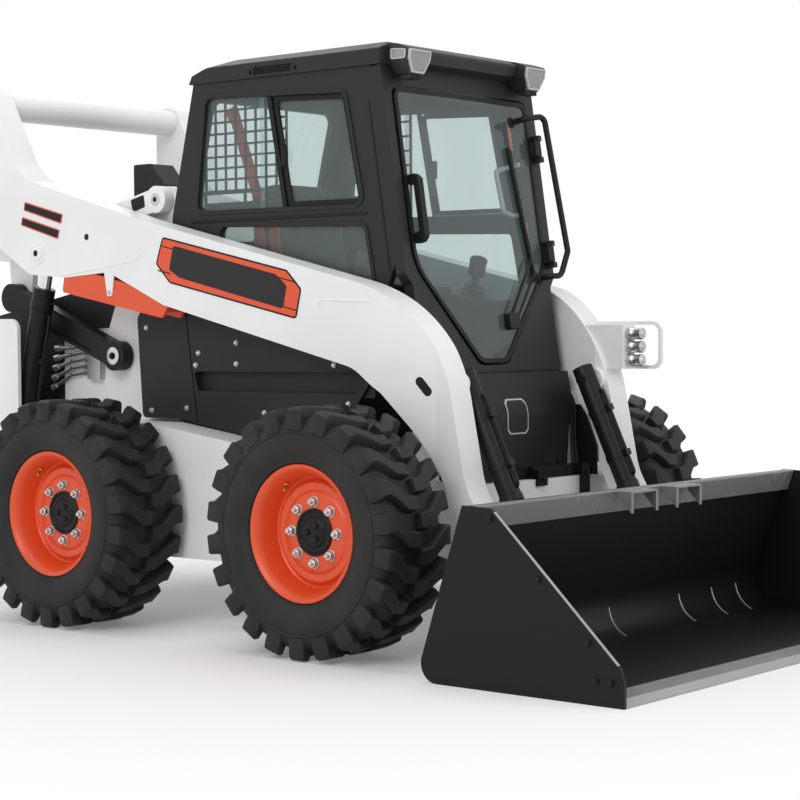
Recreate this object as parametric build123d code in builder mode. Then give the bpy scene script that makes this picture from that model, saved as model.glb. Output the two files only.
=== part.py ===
"""Skid steer loader with vertical-path lift arms, quick coupler and dirt bucket.

Millimetres. X runs forward, Y to the machine's left, Z up from the ground.
The origin lies on the ground under the middle of the machine's overall length and width.
"""

import os
from math import atan2, cos, degrees, hypot, radians, sin

from build123d import *

# Main sizes that the rest follows
CAB_HALF = 428.0
CAB_FLOOR_Z = 1000.0
ROOF_TOP = 2069.0
ROOF_THICKNESS = 84.0
ROOF_UNDER = ROOF_TOP - ROOF_THICKNESS
HEADROOM = ROOF_UNDER - CAB_FLOOR_Z
ARM_INNER_Y = CAB_HALF + 22
ARM_OUTER_Y = ARM_INNER_Y + 120
LEG_INNER_Y = CAB_HALF - 23
LEG_OUTER_Y = LEG_INNER_Y + 107
CASE_INNER_Y = CAB_HALF - 40
CASE_OUTER_Y = CASE_INNER_Y + 202
BAY_HALF = CASE_INNER_Y - 33

# Wheels and axles
FRONT_AXLE_X = 500.0
WHEELBASE = 1246.0
REAR_AXLE_X = FRONT_AXLE_X - WHEELBASE
TYRE_RADIUS = 415.5
TYRE_WIDTH = 307.0
TYRE_MID_Y = CASE_OUTER_Y + 180
CASING_RADIUS = 372.0
TYRE_WALL_RADIUS = 309.0
LUG_COUNT = 22
LUG_FOOT_RADIUS = 360.0
LUG_TOP_RADIUS = 411.0
LUG_DRAFT = 10.0
LUG_WIDTH = 72.0
LUG_SLANT = 58.0
LUG_MIDDLE_GAP = 2.0
BEAD_RADIUS = 209.5
RIM_FLANGE_RADIUS = 228.0
RIM_WIDTH = 254.0
RIM_THICKNESS = 9.0
FLANGE_FOOT = 16.0
FLANGE_LIP = 8.0
RIM_WELL_DEPTH = 22.0
BOLT_PLANE_Y = TYRE_MID_Y + 57
DISC_THICKNESS = 14.0
HUB_RADIUS = 76.0
HUB_LENGTH = 60.0
HUB_CAP_RADIUS = 52.0
HUB_CAP_HEIGHT = 46.0
SPINDLE_RADIUS = 40.0
AXLE_TUBE_RADIUS = 68.0
RUNNING_GAP = 0.05
SEAT_GAP = 0.3

# Frame
FRAME_BOTTOM = 252.0
CASE_REAR_X = -1215.0
CASE_FRONT_X = 735.0
CASE_TOP_REAR = 745.0
CASE_TOP_FRONT = 575.0
FLOOR_PLATE = 20.0
FRONT_WALL_X = 745.0
FRONT_WALL_TOP = 545.0
FRONT_WALL_DEPTH = 55.0
UPRIGHT_THICKNESS = 28.0
UPRIGHT_FOOT_Z = 450.0
TAIL_X = -1798.0
TAIL_LAMP_PROUD = 12.0
TAIL_BOTTOM = 300.0
TAIL_PLATE = 15.0
TAIL_FRONT_X = -1290.0
TAIL_TOP = 1128.0
BUMPER_DEPTH = 70.0
BUMPER_TOP = 560.0
CORNER_INNER_Y = BAY_HALF - 5
CORNER_DEPTH = 35.0
BAY_WALL = 15.0
BAY_PAD = 120.0
BAY_PAD_Z = 900.0
BAY_REAR_X = -1740.0

# Lift linkage pins, as (x, z) in the side view
LINK_FRAME_PIN = (-896.0, 983.0)
LINK_ARM_PIN = (-1506.0, 1214.0)
UPPER_FRAME_PIN = (-657.0, 1572.0)
UPPER_ARM_PIN = (-1225.0, 1440.0)
LIFT_BASE_PIN = (-1414.0, 450.0)
LIFT_ARM_PIN = (-1187.0, 1381.0)
BUCKET_PIN = (1030.0, 178.0)
TILT_BASE_PIN = (765.0, 894.0)
TILT_ROD_PIN = (1060.0, 268.0)
LIFT_PIN_RADIUS = 25.0
BASE_PIN_RADIUS = 22.0
TILT_PIN_RADIUS = 17.0

# Links and cylinders
CONTROL_LINK_INNER_Y = CAB_HALF - 33
CONTROL_LINK_OUTER_Y = CONTROL_LINK_INNER_Y + 52
CONTROL_BOSS_RADIUS = 57.0
CONTROL_LINK_HALF_HEIGHT = 46.0
UPPER_LINK_INNER_Y = CAB_HALF - 30
UPPER_LINK_OUTER_Y = UPPER_LINK_INNER_Y + 42
UPPER_BOSS_RADIUS = 51.0
LIFT_CYLINDER_Y = ARM_INNER_Y + 60
LIFT_BARREL_RADIUS = 43.0
LIFT_ROD_RADIUS = 25.0
LIFT_BARREL_LENGTH = 770.0
LIFT_EYE_RADIUS = 44.0
LIFT_EYE_WIDTH = 56.0
TILT_CYLINDER_Y = LEG_INNER_Y - 60
TILT_BARREL_RADIUS = 37.5
TILT_ROD_RADIUS = 20.0
TILT_BARREL_LENGTH = 440.0
TILT_EYE_RADIUS = 30.0
TILT_EYE_WIDTH = 44.0

# Lift arms
ARM_BEND_START_X = 520.0
ARM_BEND_END_X = 760.0
ARM_WALL = 13.0
LUG_INNER_Y = CAB_HALF - 66
LUG_OUTER_Y = LUG_INNER_Y + 28
LUG_RADIUS = 60.0
REAR_TUBE_PIN = (-1530.0, 1980.0)
REAR_TUBE_RADIUS = 55.0
FRONT_TUBE_PIN = (895.0, 430.0)
FRONT_TUBE_RADIUS = 42.0
LEG_BOSS_RADIUS = 54.0

# Bucket and quick coupler
BUCKET_HALF = 963.0
BUCKET_SIDE_PLATE = 12.0
BUCKET_SHEET = 10.0
BUCKET_FRONT_X = 1810.0
BUCKET_HEEL_X = 1063.0
BUCKET_HEEL_RADIUS = 120.0
BUCKET_TOP_X = 1240.0
BUCKET_TOP_Z = 550.0
CUTTING_EDGE_DEPTH = 190.0
CUTTING_EDGE_THICKNESS = 20.0
CUTTING_BEVEL = 34.0
LIP_HEIGHT = 74.0
LIP_DEPTH = 26.0
STEP_WIDTH = 160.0
STEP_OFFSET_Y = 215.0
STEP_REACH = 66.0
STEP_BAR = 14.0
COUPLER_HALF = ARM_OUTER_Y - 10
COUPLER_PLATE = 22.0
COUPLER_EAR = 12.0
COUPLER_EAR_GAP = 3.0

# Cab
CAB_WALL = 30.0
CAB_REAR_X = -579.0
CAB_REAR_TOP_X = -459.0
CAB_REAR_KNEE_Z = CAB_FLOOR_Z + 0.5076 * HEADROOM
ROOF_FRONT_X = 520.0
ROOF_HALF = CAB_HALF + 8
ROOF_EDGE_DROP = 30.0
ROOF_EDGE_WIDTH = 70.0
FRONT_LOW = (612.0, 930.0)
FRONT_HIGH = (452.0, ROOF_UNDER)
FRONT_FRAME_DEPTH = 42.0
GLASS_THICKNESS = 6.0
DOOR_HALF = CAB_HALF - 50
DOOR_TOP_Z = ROOF_UNDER - 73
DOOR_SHOULDER_Z = CAB_FLOOR_Z + 0.3046 * HEADROOM
DOOR_TIP_HALF = 78.0
DOOR_TIP_Z = 958.0
DOOR_RIM = 16.0
DOOR_FRAME_DEPTH = 22.0
DOOR_GAP = 8.0
DOOR_PROUD = 6.0
DOOR_HINGE_Y = DOOR_HALF + 16
DOOR_HINGE_OUT = 22.0
DOOR_HINGES_Z = (DOOR_TOP_Z - 173, DOOR_SHOULDER_Z + 49)
HINGE_PIN_RADIUS = 8.0
KNUCKLE_RADIUS = 14.0
KNUCKLE_HALF = 28.0
KNUCKLE_GAP = 2.0
HINGE_LUG = 20.0
PANEL_THICKNESS = 12.0

# Tailgate
GATE_HALF = CORNER_INNER_Y - 8
GATE_BOTTOM = 566.0
GATE_TOP = 1122.0
GATE_DEPTH = 40.0
GATE_X = TAIL_X + 6
GATE_HINGE_X = TAIL_X + 3
GATE_HINGE_Y = CORNER_INNER_Y - 4
GATE_HINGES_Z = (680.0, 1010.0)
GATE_SLOT_MARGIN = 60.0
GATE_SLOT_DEPTH = 18.0
GATE_SLOT_COUNT = 9
GATE_SLOT_HEIGHT = 22.0

os.makedirs("parts", exist_ok=True)


def export(builder, name):
    """Labels a finished piece and writes it to its own file."""
    builder.part.label = name
    export_step(builder.part, f"parts/{name}.step")


def side_slab(outline, y_low, y_high, mode=Mode.ADD):
    """Adds an outline of (x, z, corner radius) points as a slab between two Y planes."""
    with BuildSketch(Plane.XZ.offset(-y_high)) as profile:
        with BuildLine():
            FilletPolyline(*[(x, z) for x, z, _ in outline], radius=[r for _, _, r in outline], close=True)
        make_face()
    extrude(profile.sketch, amount=y_high - y_low, mode=mode)


def disc(pin, radius, y_low, y_high, mode=Mode.ADD):
    """Adds a round boss, pin or bore along Y at an (x, z) point between two Y planes."""
    with BuildSketch(Plane.XZ.offset(-y_high)) as profile:
        with Locations(pin):
            Circle(radius)
    extrude(profile.sketch, amount=y_high - y_low, mode=mode)


def block(x_low, x_high, y_low, y_high, z_low, z_high, mode=Mode.ADD):
    """Adds an upright box between two corners."""
    with BuildSketch(Plane.XY.offset(z_low)) as profile:
        with Locations(((x_low + x_high) / 2, (y_low + y_high) / 2)):
            Rectangle(x_high - x_low, y_high - y_low)
    extrude(profile.sketch, amount=z_high - z_low, mode=mode)


def bar(start, end, half_height, y_low, y_high, mode=Mode.ADD):
    """Adds a straight flat bar between two (x, z) points."""
    length = hypot(end[0] - start[0], end[1] - start[1])
    turn = degrees(atan2(end[1] - start[1], end[0] - start[0]))
    middle = ((start[0] + end[0]) / 2, (start[1] + end[1]) / 2)
    with BuildSketch(Plane.XZ.offset(-y_high)) as profile:
        with Locations(Location(middle, turn)):
            Rectangle(length, 2 * half_height)
    extrude(profile.sketch, amount=y_high - y_low, mode=mode)


def rod_between(start, end, radius, y, mode=Mode.ADD):
    """Adds a round rod in the plane Y = y between two (x, z) points."""
    axis = (end[0] - start[0], 0, end[1] - start[1])
    with BuildSketch(Plane(origin=(start[0], y, start[1]), x_dir=(0, 1, 0), z_dir=axis)) as profile:
        Circle(radius)
    extrude(profile.sketch, amount=hypot(axis[0], axis[2]), mode=mode)


def along(start, end, distance):
    """Gives the (x, z) point that lies a distance from start on the way to end."""
    share = distance / hypot(end[0] - start[0], end[1] - start[1])
    return (start[0] + share * (end[0] - start[0]), start[1] + share * (end[1] - start[1]))


def sided(side, near, far):
    """Orders two distances from the middle plane as low and high Y on one side."""
    return (near, far) if side > 0 else (-far, -near)


def front_x(z):
    """Gives the X of the leaning cab front at a height."""
    share = (z - FRONT_LOW[1]) / (FRONT_HIGH[1] - FRONT_LOW[1])
    return FRONT_LOW[0] + share * (FRONT_HIGH[0] - FRONT_LOW[0])


LEAN = degrees(atan2(FRONT_LOW[0] - FRONT_HIGH[0], FRONT_HIGH[1] - FRONT_LOW[1]))
UP_FRONT = 1 / cos(radians(LEAN))
FRONT_FRAME_REACH = FRONT_FRAME_DEPTH * UP_FRONT

# Main frame: two drive cases, belly plate and front wall
CASE_OUTLINE = [
    (CASE_REAR_X, FRAME_BOTTOM + 60, 0),
    (CASE_REAR_X + 70, FRAME_BOTTOM, 30),
    (CASE_FRONT_X - 80, FRAME_BOTTOM, 40),
    (CASE_FRONT_X, FRAME_BOTTOM + 90, 40),
    (CASE_FRONT_X, CASE_TOP_FRONT - 40, 30),
    (CASE_FRONT_X - 70, CASE_TOP_FRONT, 20),
    (REAR_AXLE_X + 217, CASE_TOP_REAR - 9, 80),
    (CASE_REAR_X, CASE_TOP_REAR, 0),
]
with BuildPart() as main_frame:
    side_slab(CASE_OUTLINE, CASE_INNER_Y, CASE_OUTER_Y)
    mirror(about=Plane.XZ)
    block(CASE_REAR_X + 70, FRONT_WALL_X, -CASE_INNER_Y, CASE_INNER_Y, FRAME_BOTTOM, FRAME_BOTTOM + FLOOR_PLATE)
    block(
        FRONT_WALL_X - FRONT_WALL_DEPTH,
        FRONT_WALL_X,
        -CASE_INNER_Y,
        CASE_INNER_Y,
        FRAME_BOTTOM,
        FRONT_WALL_TOP,
    )
export(main_frame, "main_frame")

# Axle tubes with the spindles that carry the hubs
HUB_INNER_Y = BOLT_PLANE_Y - DISC_THICKNESS - HUB_LENGTH
with BuildPart() as axle_tubes:
    for axle_x in (FRONT_AXLE_X, REAR_AXLE_X):
        disc((axle_x, TYRE_RADIUS), AXLE_TUBE_RADIUS, CASE_OUTER_Y, HUB_INNER_Y - 6)
        disc((axle_x, TYRE_RADIUS), AXLE_TUBE_RADIUS + 34, CASE_OUTER_Y, CASE_OUTER_Y + 18)
        disc((axle_x, TYRE_RADIUS), SPINDLE_RADIUS, HUB_INNER_Y - 6, BOLT_PLANE_Y)
    mirror(about=Plane.XZ)
export(axle_tubes, "axle_tubes")

# Uprights that carry the two pairs of links
UPRIGHT_OUTER_Y = CASE_INNER_Y
UPRIGHT_INNER_Y = UPRIGHT_OUTER_Y - UPRIGHT_THICKNESS
UPRIGHT_FRONT_X = CAB_REAR_X - 14
UPRIGHT_OUTLINE = [
    (LINK_FRAME_PIN[0] - 130, UPRIGHT_FOOT_Z, 20),
    (LINK_FRAME_PIN[0] - 104, LINK_FRAME_PIN[1] + 70, 90),
    (UPPER_FRAME_PIN[0] - 92, UPPER_FRAME_PIN[1] + UPPER_BOSS_RADIUS, 50),
    (UPRIGHT_FRONT_X, UPPER_FRAME_PIN[1] + UPPER_BOSS_RADIUS, 48),
    (UPRIGHT_FRONT_X, UPRIGHT_FOOT_Z, 20),
]
with BuildPart() as uprights:
    side_slab(UPRIGHT_OUTLINE, UPRIGHT_INNER_Y, UPRIGHT_OUTER_Y)
    for pin, outer, boss in (
        (LINK_FRAME_PIN, CONTROL_LINK_OUTER_Y, CONTROL_BOSS_RADIUS),
        (UPPER_FRAME_PIN, UPPER_LINK_OUTER_Y, UPPER_BOSS_RADIUS),
    ):
        disc(pin, LIFT_PIN_RADIUS, UPRIGHT_OUTER_Y, outer + 2)
        disc(pin, boss - 6, UPRIGHT_OUTER_Y, CONTROL_LINK_INNER_Y - SEAT_GAP)
    block(
        UPRIGHT_FRONT_X - BAY_PAD,
        UPRIGHT_FRONT_X,
        BAY_HALF + SEAT_GAP,
        UPRIGHT_INNER_Y,
        BAY_PAD_Z,
        BAY_PAD_Z + BAY_PAD,
    )
    mirror(about=Plane.XZ)
export(uprights, "uprights")


def gate_post(low, high, radius, mode=Mode.ADD):
    """Adds an upright round post on the tailgate's hinge axis."""
    with BuildSketch(Plane.XY.offset(low)) as profile:
        with Locations((GATE_HINGE_X, GATE_HINGE_Y)):
            Circle(radius)
    extrude(profile.sketch, amount=high - low, mode=mode)


# Tail frame: tray, bumper, corner panels and the plates that hold the lift cylinders
TAIL_SIDE_OUTLINE = [
    (TAIL_X, TAIL_BOTTOM + 40, 30),
    (TAIL_X + 60, TAIL_BOTTOM, 30),
    (CASE_REAR_X, TAIL_BOTTOM, 0),
    (CASE_REAR_X, LIFT_BASE_PIN[1] + 40, 30),
    (TAIL_FRONT_X, LIFT_BASE_PIN[1] + 150, 60),
    (TAIL_FRONT_X, TAIL_TOP, 45),
    (TAIL_X, TAIL_TOP, 70),
]
INNER_TAIL_Y = CAB_HALF + 2
INNER_TAIL_OUTLINE = [
    (TAIL_X + BUMPER_DEPTH, TAIL_BOTTOM, 0),
    (CASE_REAR_X, TAIL_BOTTOM, 0),
    (CASE_REAR_X, CASE_TOP_REAR - 30, 20),
    (TAIL_X + BUMPER_DEPTH, CASE_TOP_REAR - 30, 20),
]
with BuildPart() as tail_frame:
    side_slab(TAIL_SIDE_OUTLINE, CASE_OUTER_Y - TAIL_PLATE, CASE_OUTER_Y)
    side_slab(INNER_TAIL_OUTLINE, INNER_TAIL_Y - TAIL_PLATE, INNER_TAIL_Y)
    disc(LIFT_BASE_PIN, BASE_PIN_RADIUS, INNER_TAIL_Y, CASE_OUTER_Y - TAIL_PLATE)
    block(TAIL_X, TAIL_X + CORNER_DEPTH, CORNER_INNER_Y, CASE_OUTER_Y - TAIL_PLATE, BUMPER_TOP, TAIL_TOP - 30)
    mirror(about=Plane.XZ)
    tray_half = CASE_OUTER_Y - TAIL_PLATE
    block(TAIL_X + BUMPER_DEPTH, CASE_REAR_X, -tray_half, tray_half, TAIL_BOTTOM, TAIL_BOTTOM + FLOOR_PLATE)
    block(TAIL_X, TAIL_X + BUMPER_DEPTH, -tray_half, tray_half, TAIL_BOTTOM, BUMPER_TOP)
    for hinge_z in GATE_HINGES_Z:
        gate_post(hinge_z - KNUCKLE_HALF - KNUCKLE_GAP, hinge_z + KNUCKLE_HALF + KNUCKLE_GAP, KNUCKLE_RADIUS + 6,
                  Mode.SUBTRACT)
        for low in (hinge_z - KNUCKLE_HALF - KNUCKLE_GAP - HINGE_LUG, hinge_z + KNUCKLE_HALF + KNUCKLE_GAP):
            gate_post(low, low + HINGE_LUG, KNUCKLE_RADIUS)
        gate_post(hinge_z - KNUCKLE_HALF - HINGE_LUG, hinge_z + KNUCKLE_HALF + HINGE_LUG, HINGE_PIN_RADIUS)
export(tail_frame, "tail_frame")

# Engine as one block on the tail tray
ENGINE_REAR_X = -1640.0
ENGINE_FRONT_X = -1010.0
ENGINE_HALF = BAY_HALF - 85
ENGINE_TOP = 930.0
with BuildPart() as engine_block:
    block(ENGINE_REAR_X, ENGINE_FRONT_X, -ENGINE_HALF, ENGINE_HALF, TAIL_BOTTOM + FLOOR_PLATE, ENGINE_TOP)
export(engine_block, "engine_block")

# Engine bay walls and hood, with the exhaust cover on top
HOOD_FRONT = (UPRIGHT_FRONT_X, 1330.0)
HOOD_BREAK = (-1060.0, 1262.0)
HOOD_REAR = (BAY_REAR_X, 1135.0)
BAY_FOOT_Z = CASE_TOP_REAR - 30
HOOD_OUTLINE = [
    (*HOOD_FRONT, 0),
    (*HOOD_BREAK, 300),
    (*HOOD_REAR, 40),
    (BAY_REAR_X, BAY_FOOT_Z, 0),
    (UPRIGHT_FRONT_X, BAY_FOOT_Z, 0),
]
HOOD_CAVITY = [
    (HOOD_FRONT[0] + 1, HOOD_FRONT[1] - BAY_WALL, 0),
    (HOOD_BREAK[0], HOOD_BREAK[1] - BAY_WALL, 300),
    (BAY_REAR_X - 1, HOOD_REAR[1] - BAY_WALL, 0),
    (BAY_REAR_X - 1, BAY_FOOT_Z - 1, 0),
    (HOOD_FRONT[0] + 1, BAY_FOOT_Z - 1, 0),
]
STACK_OUTLINE = [
    (-1050, 1240, 0),
    (-1050, 1737, 10),
    (-948, 1737, 14),
    (-872, 1650, 14),
    (-872, 1240, 0),
]
STACK_Y = (-190.0, -75.0)
with BuildPart() as engine_hood:
    side_slab(HOOD_OUTLINE, -BAY_HALF, BAY_HALF)
    side_slab(HOOD_CAVITY, -BAY_HALF + BAY_WALL, BAY_HALF - BAY_WALL, mode=Mode.SUBTRACT)
    side_slab(STACK_OUTLINE, *STACK_Y)
export(engine_hood, "engine_hood")

# Charcoal side panels under the cab, thick where they stand on the uprights
PANEL_REAR_X = -766.0
PANEL_FOOT = CASE_TOP_REAR + 5
PANEL_OUTLINE = [
    (PANEL_REAR_X + 26, PANEL_FOOT, 20),
    (PANEL_REAR_X, 1130, 40),
    (-640, 1262, 60),
    (410, 1075, 40),
    (440, 940, 30),
    (332, 798, 60),
    (345, 640, 20),
    (-165, 692, 0),
    (-560, PANEL_FOOT, 0),
]
PANEL_STAND = [
    (PANEL_REAR_X + 26, PANEL_FOOT, 20),
    (PANEL_REAR_X, 1130, 40),
    (UPRIGHT_FRONT_X - 60, 1230, 20),
    (UPRIGHT_FRONT_X - 60, PANEL_FOOT, 0),
]
PANEL_BAND = [
    (-460, 927, 12),
    (403, 932, 12),
    (351, 856, 12),
    (-440, 855, 12),
]
BAND_TRAY_X = (-476.0, 420.0)
BAND_TRAY_Z = (842.0, 946.0)
BAND_DEPTH = 30.0
BAND_BACK = 6.0
PANEL_SCOOP = [
    (-385, 1165, 10),
    (-311, 1091, 30),
    (-43, 1079, 30),
    (0, 1118, 10),
]
SCOOP_DEPTH = 8.0
PANEL_SEAM = ((-509.0, 1200.0), (-444.0, 738.0))
SEAM_HALF = 3.0
SEAM_DEPTH = 5.0
PANEL_OUTER_Y = CAB_HALF + PANEL_THICKNESS
with BuildPart() as side_panels:
    side_slab(PANEL_OUTLINE, CAB_HALF, PANEL_OUTER_Y)
    side_slab(PANEL_STAND, UPRIGHT_OUTER_Y + SEAT_GAP, CAB_HALF)
    block(*BAND_TRAY_X, PANEL_OUTER_Y - BAND_DEPTH - BAND_BACK, CAB_HALF, *BAND_TRAY_Z)
    side_slab(PANEL_BAND, PANEL_OUTER_Y - BAND_DEPTH, PANEL_OUTER_Y + 1, Mode.SUBTRACT)
    side_slab(PANEL_SCOOP, PANEL_OUTER_Y - SCOOP_DEPTH, PANEL_OUTER_Y + 1, Mode.SUBTRACT)
    bar(*PANEL_SEAM, SEAM_HALF, PANEL_OUTER_Y - SEAM_DEPTH, PANEL_OUTER_Y + 1, Mode.SUBTRACT)
    mirror(about=Plane.XZ)
export(side_panels, "side_panels")

# Lower front panel below the door
FRONT_PANEL_X = 712.0
FRONT_PANEL_DEPTH = 44.0
FRONT_PANEL_TOP = FRONT_LOW[1] - 8
FRONT_PANEL_OUTLINE = [
    (FRONT_PANEL_X - FRONT_PANEL_DEPTH, FRONT_WALL_TOP, 0),
    (FRONT_PANEL_X, FRONT_WALL_TOP, 0),
    (FRONT_PANEL_X, 790, 90),
    (FRONT_LOW[0] + 34, FRONT_PANEL_TOP, 0),
    (FRONT_LOW[0] - 10, FRONT_PANEL_TOP, 0),
    (FRONT_PANEL_X - FRONT_PANEL_DEPTH, 770, 60),
]
FRONT_PANEL_BOTTOM_HALF = CAB_HALF - 138
FRONT_PANEL_TOP_HALF = CAB_HALF - 36
with BuildPart() as front_panel:
    side_slab(FRONT_PANEL_OUTLINE, -FRONT_PANEL_TOP_HALF, FRONT_PANEL_TOP_HALF)
    with BuildSketch(Plane.YZ.offset(FRONT_LOW[0] - 20)):
        with BuildLine():
            FilletPolyline(
                (-FRONT_PANEL_BOTTOM_HALF, FRONT_WALL_TOP),
                (FRONT_PANEL_BOTTOM_HALF, FRONT_WALL_TOP),
                (FRONT_PANEL_BOTTOM_HALF + 20, 720),
                (FRONT_PANEL_TOP_HALF, FRONT_PANEL_TOP),
                (-FRONT_PANEL_TOP_HALF, FRONT_PANEL_TOP),
                (-FRONT_PANEL_BOTTOM_HALF - 20, 720),
                radius=[20, 20, 60, 0, 0, 60],
                close=True,
            )
        make_face()
    extrude(amount=160, mode=Mode.INTERSECT)
export(front_panel, "front_panel")

# Cab side walls with their window openings
SILL_FRONT_X = 500.0
CAB_SIDE_OUTLINE = [
    (CAB_REAR_X, CAB_FLOOR_Z, 0),
    (CAB_REAR_X, CAB_REAR_KNEE_Z, 120),
    (CAB_REAR_TOP_X, ROOF_UNDER, 0),
    (front_x(ROOF_UNDER) - FRONT_FRAME_REACH, ROOF_UNDER, 0),
    (front_x(DOOR_SHOULDER_Z) - FRONT_FRAME_REACH, DOOR_SHOULDER_Z, 0),
    (SILL_FRONT_X - 20, DOOR_SHOULDER_Z - 70, 40),
    (SILL_FRONT_X - 60, CAB_FLOOR_Z, 0),
]
WINDOW_LOW_REAR = (-450.0, CAB_FLOOR_Z + 0.5218 * HEADROOM)
WINDOW_HIGH_REAR = (-395.0, ROOF_UNDER - 50)
WINDOW_HIGH_FRONT = (290.0, ROOF_UNDER - 80)
WINDOW_LOW_FRONT = (372.0, CAB_FLOOR_Z + 0.5157 * HEADROOM)
WINDOW_CORNER = 34.0
UPPER_WINDOW = [
    (*WINDOW_LOW_REAR, WINDOW_CORNER),
    (*WINDOW_HIGH_REAR, WINDOW_CORNER),
    (*WINDOW_HIGH_FRONT, WINDOW_CORNER),
    (*WINDOW_LOW_FRONT, WINDOW_CORNER),
]
LOWER_WINDOW = [
    (-330, CAB_FLOOR_Z + 0.1827 * HEADROOM, 30),
    (-330, CAB_FLOOR_Z + 0.469 * HEADROOM, 30),
    (380, CAB_FLOOR_Z + 0.4467 * HEADROOM, 30),
    (418, CAB_FLOOR_Z + 0.2538 * HEADROOM, 30),
    (380, CAB_FLOOR_Z + 0.1827 * HEADROOM, 30),
]
for side, name in ((-1, "cab_side_right"), (1, "cab_side_left")):
    with BuildPart() as cab_side:
        side_slab(CAB_SIDE_OUTLINE, *sided(side, CAB_HALF - CAB_WALL, CAB_HALF))
        for window in (UPPER_WINDOW, LOWER_WINDOW):
            side_slab(window, *sided(side, CAB_HALF - CAB_WALL - 1, CAB_HALF + 1), mode=Mode.SUBTRACT)
    export(cab_side, name)

# Cab front frame with the shield-shaped door opening, leaning with the windscreen
FRONT_PLANE = Plane(
    origin=(FRONT_LOW[0], 0, FRONT_LOW[1]),
    x_dir=(0, 1, 0),
    z_dir=(cos(radians(LEAN)), 0, sin(radians(LEAN))),
)


def front_height(z):
    """Gives the distance up the leaning front plane for a height."""
    return (z - FRONT_LOW[1]) * UP_FRONT


def shield(grow):
    """Gives the corners of the door's shield outline on the front plane, grown by a margin."""
    top = front_height(DOOR_TOP_Z) + grow
    shoulder = front_height(DOOR_SHOULDER_Z)
    tip = front_height(DOOR_TIP_Z) - grow
    right_half = [(DOOR_HALF + grow, top), (DOOR_HALF + grow, shoulder), (DOOR_TIP_HALF + grow / 2, tip)]
    return [(-y, z) for y, z in right_half[:1]] + right_half + [(-y, z) for y, z in right_half[:0:-1]]


def hinge_post(low, high, radius, mode=Mode.ADD):
    """Adds a round post on the door's hinge axis between two distances up the leaning front."""
    foot = FRONT_PLANE.from_local_coords((DOOR_HINGE_Y, low, DOOR_HINGE_OUT))
    with BuildSketch(Plane(origin=foot, x_dir=(0, 1, 0), z_dir=FRONT_PLANE.y_dir)) as profile:
        Circle(radius)
    extrude(profile.sketch, amount=high - low, mode=mode)


def front_plate(y_low, y_high, low, high, out_low, out_high):
    """Adds a flat block standing on the leaning front between two distances up and out of it."""
    with BuildSketch(FRONT_PLANE.offset(out_low)) as profile:
        with Locations(((y_low + y_high) / 2, (low + high) / 2)):
            Rectangle(y_high - y_low, high - low)
    extrude(profile.sketch, amount=out_high - out_low)


SHIELD_RADII = [40, 40, 180, 60, 60, 180]
GLASS_RADII = [r - DOOR_RIM for r in SHIELD_RADII]
LOW_FRONT_HALF = CAB_HALF - 32
with BuildPart() as cab_front:
    with BuildSketch(FRONT_PLANE):
        with BuildLine():
            FilletPolyline(
                (-CAB_HALF, front_height(ROOF_UNDER)),
                (CAB_HALF, front_height(ROOF_UNDER)),
                (CAB_HALF, front_height(DOOR_SHOULDER_Z - 30)),
                (LOW_FRONT_HALF, front_height(DOOR_SHOULDER_Z - 70)),
                (LOW_FRONT_HALF, 0),
                (-LOW_FRONT_HALF, 0),
                (-LOW_FRONT_HALF, front_height(DOOR_SHOULDER_Z - 70)),
                (-CAB_HALF, front_height(DOOR_SHOULDER_Z - 30)),
                radius=[0, 0, 20, 20, 0, 0, 20, 20],
                close=True,
            )
        make_face()
    extrude(amount=-FRONT_FRAME_DEPTH)
    with BuildSketch(FRONT_PLANE.offset(1)):
        with BuildLine():
            FilletPolyline(*shield(DOOR_GAP), radius=SHIELD_RADII, close=True)
        make_face()
    extrude(amount=-FRONT_FRAME_DEPTH - 2, mode=Mode.SUBTRACT)
    for hinge_z in DOOR_HINGES_Z:
        height = front_height(hinge_z)
        for low in (height - KNUCKLE_HALF - KNUCKLE_GAP - HINGE_LUG, height + KNUCKLE_HALF + KNUCKLE_GAP):
            front_plate(DOOR_HALF + DOOR_GAP + 1, DOOR_HINGE_Y + KNUCKLE_RADIUS, low, low + HINGE_LUG,
                        0, DOOR_HINGE_OUT + KNUCKLE_RADIUS)
        hinge_post(height - KNUCKLE_HALF - HINGE_LUG, height + KNUCKLE_HALF + HINGE_LUG, HINGE_PIN_RADIUS)
export(cab_front, "cab_front")

# Roof with its sloped rear, overhanging front and notches for the lamps
LAMP_Y = CAB_HALF - 96
LAMP_HALF = 62.0
LAMP_LOW = ROOF_UNDER - 37
LAMP_HIGH = ROOF_TOP - 15
LAMP_GAP = SEAT_GAP
LAMP_REAR_X = front_x(LAMP_LOW) + LAMP_GAP
LAMP_FRONT_X = ROOF_FRONT_X + 28
VENT_X = (-141.0, 41.0)
VENT_HEIGHT = 26.0
VENT_DEPTH = 8.0
ROOF_OUTLINE = [
    (CAB_REAR_TOP_X - 16, ROOF_UNDER, 0),
    (CAB_REAR_TOP_X, ROOF_UNDER + 30, 10),
    (-291, ROOF_TOP, 60),
    (ROOF_FRONT_X - 90, ROOF_TOP, 60),
    (ROOF_FRONT_X, ROOF_TOP - 30, 16),
    (ROOF_FRONT_X - 14, ROOF_UNDER + 12, 8),
    (front_x(ROOF_UNDER), ROOF_UNDER, 0),
]
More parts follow.
